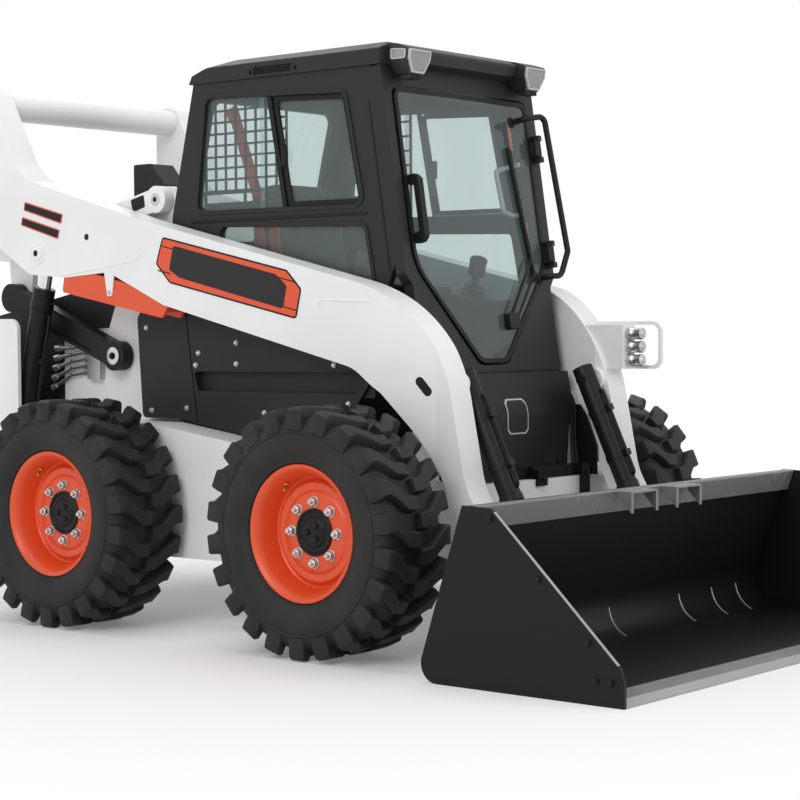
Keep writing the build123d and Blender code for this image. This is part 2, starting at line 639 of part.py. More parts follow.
with BuildPart() as cab_roof:
    side_slab(ROOF_OUTLINE, -ROOF_HALF, ROOF_HALF)
    with BuildSketch(Plane.YZ.offset(CAB_REAR_TOP_X - 50)):
        with BuildLine():
            FilletPolyline(
                (-ROOF_HALF, ROOF_UNDER),
                (ROOF_HALF, ROOF_UNDER),
                (ROOF_HALF, ROOF_TOP - ROOF_EDGE_DROP),
                (ROOF_HALF - ROOF_EDGE_WIDTH, ROOF_TOP),
                (-ROOF_HALF + ROOF_EDGE_WIDTH, ROOF_TOP),
                (-ROOF_HALF, ROOF_TOP - ROOF_EDGE_DROP),
                radius=[0, 0, 8, 40, 40, 8],
                close=True,
            )
        make_face()
    extrude(amount=ROOF_FRONT_X - CAB_REAR_TOP_X + 100, mode=Mode.INTERSECT)
    for side in (-1, 1):
        notch = sided(side, LAMP_Y - LAMP_HALF - LAMP_GAP, ROOF_HALF + 1)
        block(LAMP_REAR_X - LAMP_GAP, ROOF_FRONT_X + 1, *notch, ROOF_UNDER - 1, ROOF_TOP + 1, Mode.SUBTRACT)
        vent = sided(side, ROOF_HALF - VENT_DEPTH, ROOF_HALF + 1)
        block(*VENT_X, *vent, ROOF_UNDER + 10, ROOF_UNDER + 10 + VENT_HEIGHT, Mode.SUBTRACT)
export(cab_roof, "cab_roof")

# Rear wall with the rear window opening
REAR_KNEE_RADIUS = 120.0
REAR_OUTLINE = [
    (CAB_REAR_X, CAB_FLOOR_Z, 0),
    (CAB_REAR_X, CAB_REAR_KNEE_Z, REAR_KNEE_RADIUS),
    (CAB_REAR_TOP_X, ROOF_UNDER, 0),
    (CAB_REAR_TOP_X + CAB_WALL, ROOF_UNDER, 0),
    (CAB_REAR_X + CAB_WALL, CAB_REAR_KNEE_Z, REAR_KNEE_RADIUS),
    (CAB_REAR_X + CAB_WALL, CAB_FLOOR_Z, 0),
]
REAR_WINDOW_LOW = CAB_FLOOR_Z + 0.4264 * HEADROOM
REAR_WINDOW_HIGH = ROOF_UNDER - 55
REAR_WINDOW_HALF = CAB_HALF - 98
REAR_WINDOW_CORNER = 40.0
REAR_WINDOW_PLANE = Plane(
    origin=(CAB_REAR_X - 10, 0, (REAR_WINDOW_LOW + REAR_WINDOW_HIGH) / 2),
    x_dir=(0, 1, 0),
    z_dir=(1, 0, 0),
)
REAR_WINDOW_REACH = CAB_REAR_TOP_X - CAB_REAR_X + CAB_WALL + 20
INSIDE_HALF = CAB_HALF - CAB_WALL


def rear_x(z):
    """Gives the X of the rear wall's outer face at a height above its knee."""
    share = (z - CAB_REAR_KNEE_Z) / (ROOF_UNDER - CAB_REAR_KNEE_Z)
    return CAB_REAR_X + share * (CAB_REAR_TOP_X - CAB_REAR_X)


with BuildPart() as cab_rear:
    side_slab(REAR_OUTLINE, -INSIDE_HALF, INSIDE_HALF)
    with BuildSketch(REAR_WINDOW_PLANE):
        RectangleRounded(2 * REAR_WINDOW_HALF, REAR_WINDOW_HIGH - REAR_WINDOW_LOW, REAR_WINDOW_CORNER)
    extrude(amount=REAR_WINDOW_REACH, mode=Mode.SUBTRACT)
export(cab_rear, "cab_rear")

# Floor pan: seat deck, riser and footwell
RISER_X = 150.0
FOOT_Z = 600.0
PAN = 12.0
PAN_OUTLINE = [
    (CAB_REAR_X + CAB_WALL, CAB_FLOOR_Z + PAN, 0),
    (CAB_REAR_X + CAB_WALL, CAB_FLOOR_Z, 0),
    (RISER_X - PAN, CAB_FLOOR_Z, 0),
    (RISER_X - PAN, FOOT_Z, 0),
    (FRONT_PANEL_X - FRONT_PANEL_DEPTH - SEAT_GAP, FOOT_Z, 0),
    (FRONT_PANEL_X - FRONT_PANEL_DEPTH - SEAT_GAP, FOOT_Z + PAN, 0),
    (RISER_X, FOOT_Z + PAN, 0),
    (RISER_X, CAB_FLOOR_Z + PAN, 0),
]
PAN_HALF = CAB_HALF - 44
with BuildPart() as cab_floor:
    side_slab(PAN_OUTLINE, -PAN_HALF, PAN_HALF)
export(cab_floor, "cab_floor")

# Window panes set in the middle of the walls, the front one sliding behind the rear one
PANE_Y = CAB_HALF - 14
DIVIDER_X = -110.0
PANE_LAP = 30.0


def level_at(start, end, x):
    """Gives the height of the line between two (x, z) points at an X."""
    return start[1] + (end[1] - start[1]) * (x - start[0]) / (end[0] - start[0])


REAR_PANE = [
    (*WINDOW_LOW_REAR, WINDOW_CORNER),
    (*WINDOW_HIGH_REAR, WINDOW_CORNER),
    (DIVIDER_X, level_at(WINDOW_HIGH_REAR, WINDOW_HIGH_FRONT, DIVIDER_X), 0),
    (DIVIDER_X, level_at(WINDOW_LOW_REAR, WINDOW_LOW_FRONT, DIVIDER_X), 0),
]
FRONT_PANE_X = DIVIDER_X - PANE_LAP
FRONT_PANE = [
    (FRONT_PANE_X, level_at(WINDOW_LOW_REAR, WINDOW_LOW_FRONT, FRONT_PANE_X), 0),
    (FRONT_PANE_X, level_at(WINDOW_HIGH_REAR, WINDOW_HIGH_FRONT, FRONT_PANE_X), 0),
    (*WINDOW_HIGH_FRONT, WINDOW_CORNER),
    (*WINDOW_LOW_FRONT, WINDOW_CORNER),
]
with BuildPart() as cab_glass:
    side_slab(REAR_PANE, PANE_Y - GLASS_THICKNESS, PANE_Y)
    side_slab(FRONT_PANE, PANE_Y - 2 * GLASS_THICKNESS - 1, PANE_Y - GLASS_THICKNESS - 1)
    side_slab(LOWER_WINDOW, PANE_Y - GLASS_THICKNESS, PANE_Y)
    mirror(about=Plane.XZ)
export(cab_glass, "cab_glass")

# Rear window pane, bent with the wall it sits in
REAR_PANE_INSET = 12.0
REAR_GLASS_OUTLINE = [
    (CAB_REAR_X + REAR_PANE_INSET, REAR_WINDOW_LOW, 0),
    (CAB_REAR_X + REAR_PANE_INSET, CAB_REAR_KNEE_Z, REAR_KNEE_RADIUS),
    (rear_x(REAR_WINDOW_HIGH) + REAR_PANE_INSET, REAR_WINDOW_HIGH, 0),
    (rear_x(REAR_WINDOW_HIGH) + REAR_PANE_INSET + GLASS_THICKNESS, REAR_WINDOW_HIGH, 0),
    (CAB_REAR_X + REAR_PANE_INSET + GLASS_THICKNESS, CAB_REAR_KNEE_Z, REAR_KNEE_RADIUS),
    (CAB_REAR_X + REAR_PANE_INSET + GLASS_THICKNESS, REAR_WINDOW_LOW, 0),
]
with BuildPart() as rear_glass:
    side_slab(REAR_GLASS_OUTLINE, -REAR_WINDOW_HALF, REAR_WINDOW_HALF)
    with BuildSketch(REAR_WINDOW_PLANE):
        RectangleRounded(2 * REAR_WINDOW_HALF, REAR_WINDOW_HIGH - REAR_WINDOW_LOW, REAR_WINDOW_CORNER)
    extrude(amount=REAR_WINDOW_REACH, mode=Mode.INTERSECT)
export(rear_glass, "rear_glass")

# Seat on its deck
SEAT_Z = CAB_FLOOR_Z + PAN
CUSHION_OUTLINE = [
    (-330, SEAT_Z, 20),
    (110, SEAT_Z, 40),
    (130, SEAT_Z + 150, 50),
    (-330, SEAT_Z + 120, 20),
]
BACKREST_OUTLINE = [
    (-325, SEAT_Z + 60, 0),
    (-215, SEAT_Z + 80, 0),
    (-292, SEAT_Z + 620, 40),
    (-390, SEAT_Z + 620, 40),
]
SEAT_HALF = INSIDE_HALF - 168
BACKREST_HALF = SEAT_HALF - 15
with BuildPart() as seat:
    side_slab(CUSHION_OUTLINE, -SEAT_HALF, SEAT_HALF)
    side_slab(BACKREST_OUTLINE, -BACKREST_HALF, BACKREST_HALF)
export(seat, "seat")

# Side consoles with the two control sticks
CONSOLE_OUTLINE = [
    (-300, SEAT_Z, 0),
    (-300, SEAT_Z + 230, 40),
    (200, SEAT_Z + 200, 60),
    (320, SEAT_Z + 170, 40),
    (RISER_X - 5, SEAT_Z, 0),
]
STICK_BASE = (255.0, SEAT_Z + 184)
STICK_TOP = (290.0, SEAT_Z + 330)
CONSOLE_INNER_Y = INSIDE_HALF - 136
CONSOLE_OUTER_Y = INSIDE_HALF - 16
STICK_Y = INSIDE_HALF - 78
STICK_RADIUS = 15.0
GRIP_RADIUS = 24.0
GRIP_LENGTH = 62.0
with BuildPart() as consoles:
    side_slab(CONSOLE_OUTLINE, CONSOLE_INNER_Y, CONSOLE_OUTER_Y)
    rod_between(STICK_BASE, STICK_TOP, STICK_RADIUS, STICK_Y)
    rod_between(along(STICK_TOP, STICK_BASE, GRIP_LENGTH), STICK_TOP, GRIP_RADIUS, STICK_Y)
    mirror(about=Plane.XZ)
export(consoles, "consoles")

# Bar grid inside the rear half of the left window
GUARD_LOW = (-430.0, WINDOW_LOW_REAR[1] - 24)
GUARD_HIGH = (-100.0, WINDOW_HIGH_REAR[1] + 14)
GUARD_THICKNESS = 6.0
GUARD_BAR = 8.0
GUARD_COLUMNS = 6
GUARD_ROWS = 8
with BuildPart() as window_guard:
    guard_y = INSIDE_HALF - SEAT_GAP
    block(GUARD_LOW[0], GUARD_HIGH[0], guard_y - GUARD_THICKNESS, guard_y, GUARD_LOW[1], GUARD_HIGH[1])
    pitch_x = (GUARD_HIGH[0] - GUARD_LOW[0] - GUARD_BAR) / GUARD_COLUMNS
    pitch_z = (GUARD_HIGH[1] - GUARD_LOW[1] - GUARD_BAR) / GUARD_ROWS
    with BuildSketch(Plane.XZ.offset(-guard_y - 1)):
        with Locations(((GUARD_LOW[0] + GUARD_HIGH[0]) / 2, (GUARD_LOW[1] + GUARD_HIGH[1]) / 2)):
            with GridLocations(pitch_x, pitch_z, GUARD_COLUMNS, GUARD_ROWS):
                Rectangle(pitch_x - GUARD_BAR, pitch_z - GUARD_BAR)
    extrude(amount=GUARD_THICKNESS + 2, mode=Mode.SUBTRACT)
export(window_guard, "window_guard")

# Work lamps in the roof's front corners, narrower at the foot
LAMP_FOOT_HALF = 36.0
LAMP_OUTLINE = [
    (LAMP_REAR_X, LAMP_LOW + 40, 6),
    (LAMP_REAR_X, LAMP_HIGH - 6, 6),
    (LAMP_REAR_X + 40, LAMP_HIGH, 6),
    (LAMP_FRONT_X, LAMP_HIGH - 16, 10),
    (LAMP_FRONT_X - 14, LAMP_LOW, 14),
    (LAMP_REAR_X + 22, LAMP_LOW, 6),
]
with BuildPart() as work_lamps:
    side_slab(LAMP_OUTLINE, LAMP_Y - LAMP_HALF, LAMP_Y + LAMP_HALF)
    with BuildSketch(Plane.YZ.offset(LAMP_REAR_X - 1)):
        with BuildLine():
            FilletPolyline(
                (LAMP_Y - LAMP_HALF, LAMP_HIGH),
                (LAMP_Y - LAMP_HALF, ROOF_UNDER + 12),
                (LAMP_Y - LAMP_FOOT_HALF, LAMP_LOW),
                (LAMP_Y + LAMP_FOOT_HALF, LAMP_LOW),
                (LAMP_Y + LAMP_HALF, ROOF_UNDER + 12),
                (LAMP_Y + LAMP_HALF, LAMP_HIGH),
                radius=[0, 12, 12, 12, 12, 0],
                close=True,
            )
        make_face()
    extrude(amount=LAMP_FRONT_X - LAMP_REAR_X + 2, mode=Mode.INTERSECT)
    mirror(about=Plane.XZ)
export(work_lamps, "work_lamps")

# Tail lamps set in the corner panels
TAIL_LAMP_Y = (CORNER_INNER_Y + CASE_OUTER_Y) / 2
TAIL_LAMPS_Z = (900.0, 1010.0)
TAIL_LAMP_WIDTH = 120.0
TAIL_LAMP_HEIGHT = 70.0
TAIL_LAMP_CORNER = 20.0
with BuildPart() as tail_lamps:
    for lamp_z in TAIL_LAMPS_Z:
        with BuildSketch(Plane.YZ.offset(TAIL_X)):
            with Locations((TAIL_LAMP_Y, lamp_z)):
                RectangleRounded(TAIL_LAMP_WIDTH, TAIL_LAMP_HEIGHT, TAIL_LAMP_CORNER)
        extrude(amount=-TAIL_LAMP_PROUD)
    mirror(about=Plane.XZ)
export(tail_lamps, "tail_lamps")

# Hydraulic lines and the block they come from, on the engine bay walls
LINE_COUNT = 5
LINE_PITCH = 27.0
LINE_RADIUS = 8.0
LINE_Y = BAY_HALF + 13
FITTING_RADIUS = 13.0
FITTING_LENGTH = 30.0
LINE_STEP = 6.0
LINE_SPREAD = 1.5
LINE_REAR = (-1345.0, 850.0)
LINE_BEND = (-1225.0, 905.0)
LINE_FRONT = (-1118.0, 920.0)
VALVE_REAR_X = -1120.0
VALVE_FRONT_X = -1045.0
VALVE_LOW = 890.0
VALVE_HIGH = 1090.0
with BuildPart() as hydraulic_lines:
    for i in range(LINE_COUNT):
        lift = i * LINE_PITCH
        rear = (LINE_REAR[0] + i * LINE_STEP, LINE_REAR[1] + LINE_SPREAD * lift)
        bend = (LINE_BEND[0], LINE_BEND[1] + lift)
        front = (LINE_FRONT[0], LINE_FRONT[1] + lift)
        rod_between(rear, bend, LINE_RADIUS, LINE_Y)
        rod_between(bend, front, LINE_RADIUS, LINE_Y)
        with BuildSketch(Plane.XZ.offset(-LINE_Y)):
            with Locations(bend):
                Circle(LINE_RADIUS)
        extrude(amount=LINE_RADIUS, both=True)
        rod_between(rear, along(rear, bend, FITTING_LENGTH), FITTING_RADIUS, LINE_Y)
        rod_between(along(front, bend, FITTING_LENGTH), front, FITTING_RADIUS, LINE_Y)
    block(VALVE_REAR_X, VALVE_FRONT_X, BAY_HALF, UPRIGHT_OUTER_Y - 4, VALVE_LOW, VALVE_HIGH)
    mirror(about=Plane.XZ)
export(hydraulic_lines, "hydraulic_lines")


TYRE_HALF = TYRE_WIDTH / 2
BEAD_HALF = RIM_WIDTH / 2 - FLANGE_FOOT - SEAT_GAP
LUG_SHAPE = [
    (-LUG_WIDTH / 2 - LUG_SLANT / 2, TYRE_HALF),
    (LUG_WIDTH / 2 - LUG_SLANT / 2, TYRE_HALF),
    (LUG_WIDTH / 2 + LUG_SLANT / 2, LUG_MIDDLE_GAP),
    (-LUG_WIDTH / 2 + LUG_SLANT / 2, LUG_MIDDLE_GAP),
]


def tyre_ring(y):
    """Gives the plane square to the axle at a distance from the tyre's middle."""
    return Plane(origin=(0, y, 0), x_dir=(1, 0, 0), z_dir=(0, -1, 0))


def lug_row(start, side):
    """Adds one row of drafted lugs, the first turned by a share of a pitch."""
    feet = []
    for i in range(LUG_COUNT):
        turn = radians(360 / LUG_COUNT * (i + start))
        out = Vector(sin(turn), 0, cos(turn))
        feet.append(Plane(origin=out * LUG_FOOT_RADIUS, x_dir=(cos(turn), 0, -sin(turn)), z_dir=out))
    with BuildSketch(*feet) as row:
        with BuildLine():
            Polyline(*[(t, side * y) for t, y in LUG_SHAPE], close=True)
        make_face()
    extrude(row.sketch, amount=LUG_TOP_RADIUS - LUG_FOOT_RADIUS, taper=LUG_DRAFT)


# Tyre about its own middle: casing, drafted bead seats and two rows of lugs half a pitch apart
with BuildPart() as tyre_form:
    with BuildSketch(tyre_ring(TYRE_HALF)):
        RegularPolygon(CASING_RADIUS, LUG_COUNT)
    extrude(amount=TYRE_WIDTH)
    bead_rings = []
    for radius, y in (
        (TYRE_WALL_RADIUS, TYRE_HALF),
        (BEAD_RADIUS + SEAT_GAP, BEAD_HALF),
        (BEAD_RADIUS + SEAT_GAP, -BEAD_HALF),
        (TYRE_WALL_RADIUS, -TYRE_HALF),
    ):
        with BuildSketch(tyre_ring(y)) as bead_ring:
            RegularPolygon(radius, LUG_COUNT, major_radius=False)
        bead_rings.append(bead_ring.sketch)
    loft(bead_rings, ruled=True, mode=Mode.SUBTRACT)
    lug_row(0, 1)
    lug_row(0.5, -1)


def make_tyre(axle_x, side, name):
    """Sets the tyre on one axle end."""
    with BuildPart() as tyre:
        with Locations((axle_x, side * TYRE_MID_Y, TYRE_RADIUS)):
            add(tyre_form.part)
    export(tyre, name)


def make_rim(axle_x, side, name):
    """Turns one wheel: drop-centre rim, disc, hub and cap, with its nuts."""
    half = RIM_WIDTH / 2
    face = BOLT_PLANE_Y - TYRE_MID_Y
    with BuildPart() as rim:
        with BuildSketch(Plane((axle_x, side * TYRE_MID_Y, TYRE_RADIUS))):
            with BuildLine():
                Polyline(
                    (SPINDLE_RADIUS + RUNNING_GAP, side * (face - DISC_THICKNESS - HUB_LENGTH)),
                    (HUB_RADIUS, side * (face - DISC_THICKNESS - HUB_LENGTH)),
                    (HUB_RADIUS, side * (face - DISC_THICKNESS)),
                    (150, side * (face - DISC_THICKNESS)),
                    (BEAD_RADIUS - RIM_WELL_DEPTH - RIM_THICKNESS, side * (face - 46)),
                    (BEAD_RADIUS - RIM_WELL_DEPTH - RIM_THICKNESS, -side * 30),
                    (BEAD_RADIUS - RIM_THICKNESS, -side * 60),
                    (BEAD_RADIUS - RIM_THICKNESS, -side * half),
                    (RIM_FLANGE_RADIUS, -side * half),
                    (RIM_FLANGE_RADIUS, -side * (half - FLANGE_LIP)),
                    (BEAD_RADIUS, -side * (half - FLANGE_FOOT)),
                    (BEAD_RADIUS, -side * 56),
                    (BEAD_RADIUS - RIM_WELL_DEPTH, -side * 26),
                    (BEAD_RADIUS - RIM_WELL_DEPTH, side * 26),
                    (BEAD_RADIUS, side * 56),
                    (BEAD_RADIUS, side * (half - FLANGE_FOOT)),
                    (RIM_FLANGE_RADIUS, side * (half - FLANGE_LIP)),
                    (RIM_FLANGE_RADIUS, side * half),
                    (BEAD_RADIUS - RIM_THICKNESS, side * half),
                    (BEAD_RADIUS - RIM_THICKNESS, side * 62),
                    (BEAD_RADIUS - RIM_WELL_DEPTH - RIM_THICKNESS, side * 34),
                    (BEAD_RADIUS - RIM_WELL_DEPTH - RIM_THICKNESS, side * (face - 30)),
                    (156, side * face),
                    (HUB_CAP_RADIUS, side * face),
                    (HUB_CAP_RADIUS - 8, side * (face + HUB_CAP_HEIGHT)),
                    (0, side * (face + HUB_CAP_HEIGHT)),
                    (0, side * (face + 2)),
                    (SPINDLE_RADIUS + RUNNING_GAP, side * (face + 2)),
                    close=True,
                )
            make_face()
        revolve(axis=Axis((axle_x, 0, TYRE_RADIUS), (0, 1, 0)))
    export(rim, name)


for axle_x, end in ((FRONT_AXLE_X, "front"), (REAR_AXLE_X, "rear")):
    for side, hand in ((-1, "right"), (1, "left")):
        make_tyre(axle_x, side, f"tyre_{end}_{hand}")
        make_rim(axle_x, side, f"rim_{end}_{hand}")

# Control links, forked past the lift cylinders to the rear of the arms
with BuildPart() as control_links:
    bar(LINK_ARM_PIN, LINK_FRAME_PIN, CONTROL_LINK_HALF_HEIGHT, CONTROL_LINK_INNER_Y, CONTROL_LINK_OUTER_Y)
    for pin in (LINK_ARM_PIN, LINK_FRAME_PIN):
        disc(pin, CONTROL_BOSS_RADIUS, CONTROL_LINK_INNER_Y, CONTROL_LINK_OUTER_Y)
    pocket = (along(LINK_ARM_PIN, LINK_FRAME_PIN, 130), along(LINK_FRAME_PIN, LINK_ARM_PIN, 130))
    bar(*pocket, CONTROL_LINK_HALF_HEIGHT - 14, CONTROL_LINK_OUTER_Y - 10, CONTROL_LINK_OUTER_Y, Mode.SUBTRACT)
    disc(
        LINK_FRAME_PIN,
        LIFT_PIN_RADIUS + RUNNING_GAP,
        CONTROL_LINK_INNER_Y - 1,
        CONTROL_LINK_OUTER_Y + 1,
        Mode.SUBTRACT,
    )
    disc(LINK_ARM_PIN, LIFT_PIN_RADIUS, LUG_INNER_Y - 2, CONTROL_LINK_INNER_Y)
    mirror(about=Plane.XZ)
export(control_links, "control_links")

# Upper links from the uprights to the arms
with BuildPart() as upper_links:
    bar(UPPER_ARM_PIN, UPPER_FRAME_PIN, UPPER_BOSS_RADIUS - 8, UPPER_LINK_INNER_Y, UPPER_LINK_OUTER_Y)
    for pin in (UPPER_ARM_PIN, UPPER_FRAME_PIN):
        disc(pin, UPPER_BOSS_RADIUS, UPPER_LINK_INNER_Y, UPPER_LINK_OUTER_Y)
    disc(
        UPPER_FRAME_PIN,
        LIFT_PIN_RADIUS + RUNNING_GAP,
        UPPER_LINK_INNER_Y - 1,
        UPPER_LINK_OUTER_Y + 1,
        Mode.SUBTRACT,
    )
    disc(UPPER_ARM_PIN, LIFT_PIN_RADIUS + 10, UPPER_LINK_OUTER_Y, ARM_INNER_Y - 1)
    mirror(about=Plane.XZ)
export(upper_links, "upper_links")

# Lift cylinders
LIFT_GLAND_AT = LIFT_BARREL_LENGTH + 50
with BuildPart() as lift_barrels:
    gland = along(LIFT_BASE_PIN, LIFT_ARM_PIN, LIFT_GLAND_AT)
    rod_between(LIFT_BASE_PIN, gland, LIFT_BARREL_RADIUS, LIFT_CYLINDER_Y)
    disc(
        LIFT_BASE_PIN,
        LIFT_EYE_RADIUS,
        LIFT_CYLINDER_Y - LIFT_EYE_WIDTH / 2,
        LIFT_CYLINDER_Y + LIFT_EYE_WIDTH / 2,
    )
    disc(LIFT_BASE_PIN, BASE_PIN_RADIUS + RUNNING_GAP, LIFT_CYLINDER_Y - 60, LIFT_CYLINDER_Y + 60, Mode.SUBTRACT)
    bore_start = along(LIFT_BASE_PIN, LIFT_ARM_PIN, 60)
    rod_between(bore_start, along(LIFT_BASE_PIN, LIFT_ARM_PIN, LIFT_GLAND_AT + 1),
                LIFT_ROD_RADIUS + RUNNING_GAP, LIFT_CYLINDER_Y, Mode.SUBTRACT)
    mirror(about=Plane.XZ)
export(lift_barrels, "lift_barrels")

with BuildPart() as lift_rods:
    rod_between(along(LIFT_BASE_PIN, LIFT_ARM_PIN, 64), LIFT_ARM_PIN, LIFT_ROD_RADIUS, LIFT_CYLINDER_Y)
    disc(
        LIFT_ARM_PIN,
        LIFT_EYE_RADIUS,
        LIFT_CYLINDER_Y - LIFT_EYE_WIDTH / 2,
        LIFT_CYLINDER_Y + LIFT_EYE_WIDTH / 2,
    )
    disc(LIFT_ARM_PIN, BASE_PIN_RADIUS, ARM_INNER_Y + ARM_WALL + 1, ARM_OUTER_Y - ARM_WALL - 1)
    mirror(about=Plane.XZ)
export(lift_rods, "lift_rods")

# Lift arms: one side outline cut by one plan outline
LEG_SLOPE = 0.199
KNEE_CORNER = (759.5, 1169.5)
LEG_BEND_Z = 560.0
LEG_BEND = (KNEE_CORNER[0] + LEG_SLOPE * (KNEE_CORNER[1] - LEG_BEND_Z), LEG_BEND_Z)
ARM_OUTLINE = [
    (-1605, 2048, 62),
    (-1490, 2048, 62),
    (-1290, 1680, 240),
    (-607, 1490, 900),
    (*KNEE_CORNER, 500),
    (*LEG_BEND, 250),
    (BUCKET_PIN[0] + LEG_BOSS_RADIUS, BUCKET_PIN[1] + LEG_BOSS_RADIUS, 40),
    (BUCKET_PIN[0] + LEG_BOSS_RADIUS, BUCKET_PIN[1] - LEG_BOSS_RADIUS, 50),
    (BUCKET_PIN[0] - LEG_BOSS_RADIUS, BUCKET_PIN[1] - LEG_BOSS_RADIUS, 50),
    (775, 600, 300),
    (690, 725, 100),
    (560, 865, 120),
    (445, 949, 160),
    (-484, 1173, 60),
    (-781, 1300, 60),
    (-1021, 1284, 40),
    (-1235, 1300, 60),
    (-1426, 1413, 80),
    (-1605, 1480, 40),
]
PLAN_OUTLINE = [
    (-1700, ARM_INNER_Y),
    (ARM_BEND_START_X, ARM_INNER_Y),
    (ARM_BEND_END_X, LEG_INNER_Y),
    (BUCKET_PIN[0] + 2 * LEG_BOSS_RADIUS, LEG_INNER_Y),
    (BUCKET_PIN[0] + 2 * LEG_BOSS_RADIUS, LEG_OUTER_Y),
    (ARM_BEND_END_X, LEG_OUTER_Y),
    (ARM_BEND_START_X, ARM_OUTER_Y),
    (-1700, ARM_OUTER_Y),
]
POCKET_OUTLINE = [
    (LIFT_ARM_PIN[0] + 85, LIFT_ARM_PIN[1] + 75, 40),
    (LIFT_ARM_PIN[0] + 85, LIFT_ARM_PIN[1] - 220, 0),
    (-1720, LIFT_ARM_PIN[1] - 220, 0),
    (-1720, LIFT_ARM_PIN[1] + 40, 0),
    (LIFT_ARM_PIN[0] - 60, LIFT_ARM_PIN[1] + 75, 40),
]
LUG_OUTLINE = [
    (LINK_ARM_PIN[0] - LUG_RADIUS, LINK_ARM_PIN[1], 0),
    (LINK_ARM_PIN[0] + LUG_RADIUS, LINK_ARM_PIN[1], 0),
    (LINK_ARM_PIN[0] + LUG_RADIUS + 30, LINK_ARM_PIN[1] + 250, 0),
    (LINK_ARM_PIN[0] - LUG_RADIUS - 20, LINK_ARM_PIN[1] + 250, 0),
]
BRIDGE_LOW = LINK_ARM_PIN[1] + CONTROL_BOSS_RADIUS + 32
for side, name in ((-1, "arm_right"), (1, "arm_left")):
    with BuildPart() as arm:
        side_slab(ARM_OUTLINE, *sided(side, LEG_INNER_Y - 5, ARM_OUTER_Y + 5))
        with BuildSketch(Plane.XY.offset(100)):
            with BuildLine():
                Polyline(*[(x, side * y) for x, y in PLAN_OUTLINE], close=True)
            make_face()
        extrude(amount=2000, mode=Mode.INTERSECT)
        side_slab(POCKET_OUTLINE, *sided(side, ARM_INNER_Y + ARM_WALL, ARM_OUTER_Y - ARM_WALL), mode=Mode.SUBTRACT)
        side_slab(LUG_OUTLINE, *sided(side, LUG_INNER_Y, LUG_OUTER_Y))
        disc(LINK_ARM_PIN, LUG_RADIUS, *sided(side, LUG_INNER_Y, LUG_OUTER_Y))
        bridge = sided(side, LUG_OUTER_Y, ARM_INNER_Y + ARM_WALL)
        block(LINK_ARM_PIN[0] - 70, LINK_ARM_PIN[0] + 40, *bridge, BRIDGE_LOW + 60, LINK_ARM_PIN[1] + 250)
        disc(LINK_ARM_PIN, LIFT_PIN_RADIUS + RUNNING_GAP, *sided(side, LUG_INNER_Y - 1, LUG_OUTER_Y + 1),
             Mode.SUBTRACT)
        disc(BUCKET_PIN, LIFT_PIN_RADIUS + RUNNING_GAP, *sided(side, LEG_INNER_Y - 1, LEG_OUTER_Y + 1),
             Mode.SUBTRACT)
        disc(LIFT_ARM_PIN, 44, *sided(side, ARM_OUTER_Y, ARM_OUTER_Y + 4))
        disc(TILT_BASE_PIN, TILT_PIN_RADIUS, *sided(side, TILT_CYLINDER_Y - 36, LEG_INNER_Y))
        disc(TILT_BASE_PIN, TILT_PIN_RADIUS + 22, *sided(side, TILT_CYLINDER_Y + 40, LEG_INNER_Y))
    export(arm, name)

# Cross tubes that tie the two arms together
with BuildPart() as arm_tubes:
    disc(REAR_TUBE_PIN, REAR_TUBE_RADIUS, -ARM_INNER_Y, ARM_INNER_Y)
    disc(FRONT_TUBE_PIN, FRONT_TUBE_RADIUS, -LEG_INNER_Y, LEG_INNER_Y)
export(arm_tubes, "arm_tubes")

# Auxiliary hydraulic couplers with their guard loop on the left knee
AUX_FACE_X = 872.0
AUX_ROOT = 60.0
AUX_HALF = 40.0
AUX_LOW = 930.0
AUX_HIGH = 1090.0
AUX_PORT_PITCH = 48.0
AUX_PORT_RADIUS = 19.0
AUX_PORT_LENGTH = 62.0
AUX_Y = (LEG_INNER_Y + LEG_OUTER_Y) / 2
AUX_LOOP_FRONT_X = 986.0
AUX_LOOP_BAR = 13.0
AUX_LOOP = [
    (KNEE_CORNER[0] - AUX_ROOT, AUX_HIGH + AUX_LOOP_BAR, 0),
    (AUX_LOOP_FRONT_X, AUX_HIGH + AUX_LOOP_BAR, 40),
    (AUX_LOOP_FRONT_X, AUX_LOW, 40),
    (KNEE_CORNER[0] - AUX_ROOT, AUX_LOW, 0),
]
AUX_LOOP_INSIDE = [
    (AUX_FACE_X - 44, AUX_HIGH, 0),
    (AUX_LOOP_FRONT_X - AUX_LOOP_BAR, AUX_HIGH, 28),
    (AUX_LOOP_FRONT_X - AUX_LOOP_BAR, AUX_LOW + AUX_LOOP_BAR, 28),
    (AUX_FACE_X - 14, AUX_LOW + AUX_LOOP_BAR, 0),
]
with BuildPart() as aux_couplers:
    block(KNEE_CORNER[0] - AUX_ROOT, AUX_FACE_X, AUX_Y - AUX_HALF, AUX_Y + AUX_HALF, AUX_LOW, AUX_HIGH)
    side_slab(AUX_LOOP, LEG_OUTER_Y - AUX_LOOP_BAR, LEG_OUTER_Y)
    side_slab(AUX_LOOP_INSIDE, LEG_OUTER_Y - AUX_LOOP_BAR - 1, LEG_OUTER_Y + 1, mode=Mode.SUBTRACT)
    side_slab(ARM_OUTLINE, AUX_Y - AUX_HALF - 1, LEG_OUTER_Y + 1, mode=Mode.SUBTRACT)
    for i in (-1, 0, 1):
        with BuildSketch(Plane.YZ.offset(AUX_FACE_X)):
            with Locations((AUX_Y, (AUX_LOW + AUX_HIGH) / 2 + i * AUX_PORT_PITCH)):
                Circle(AUX_PORT_RADIUS)
        extrude(amount=AUX_PORT_LENGTH)
export(aux_couplers, "aux_couplers")

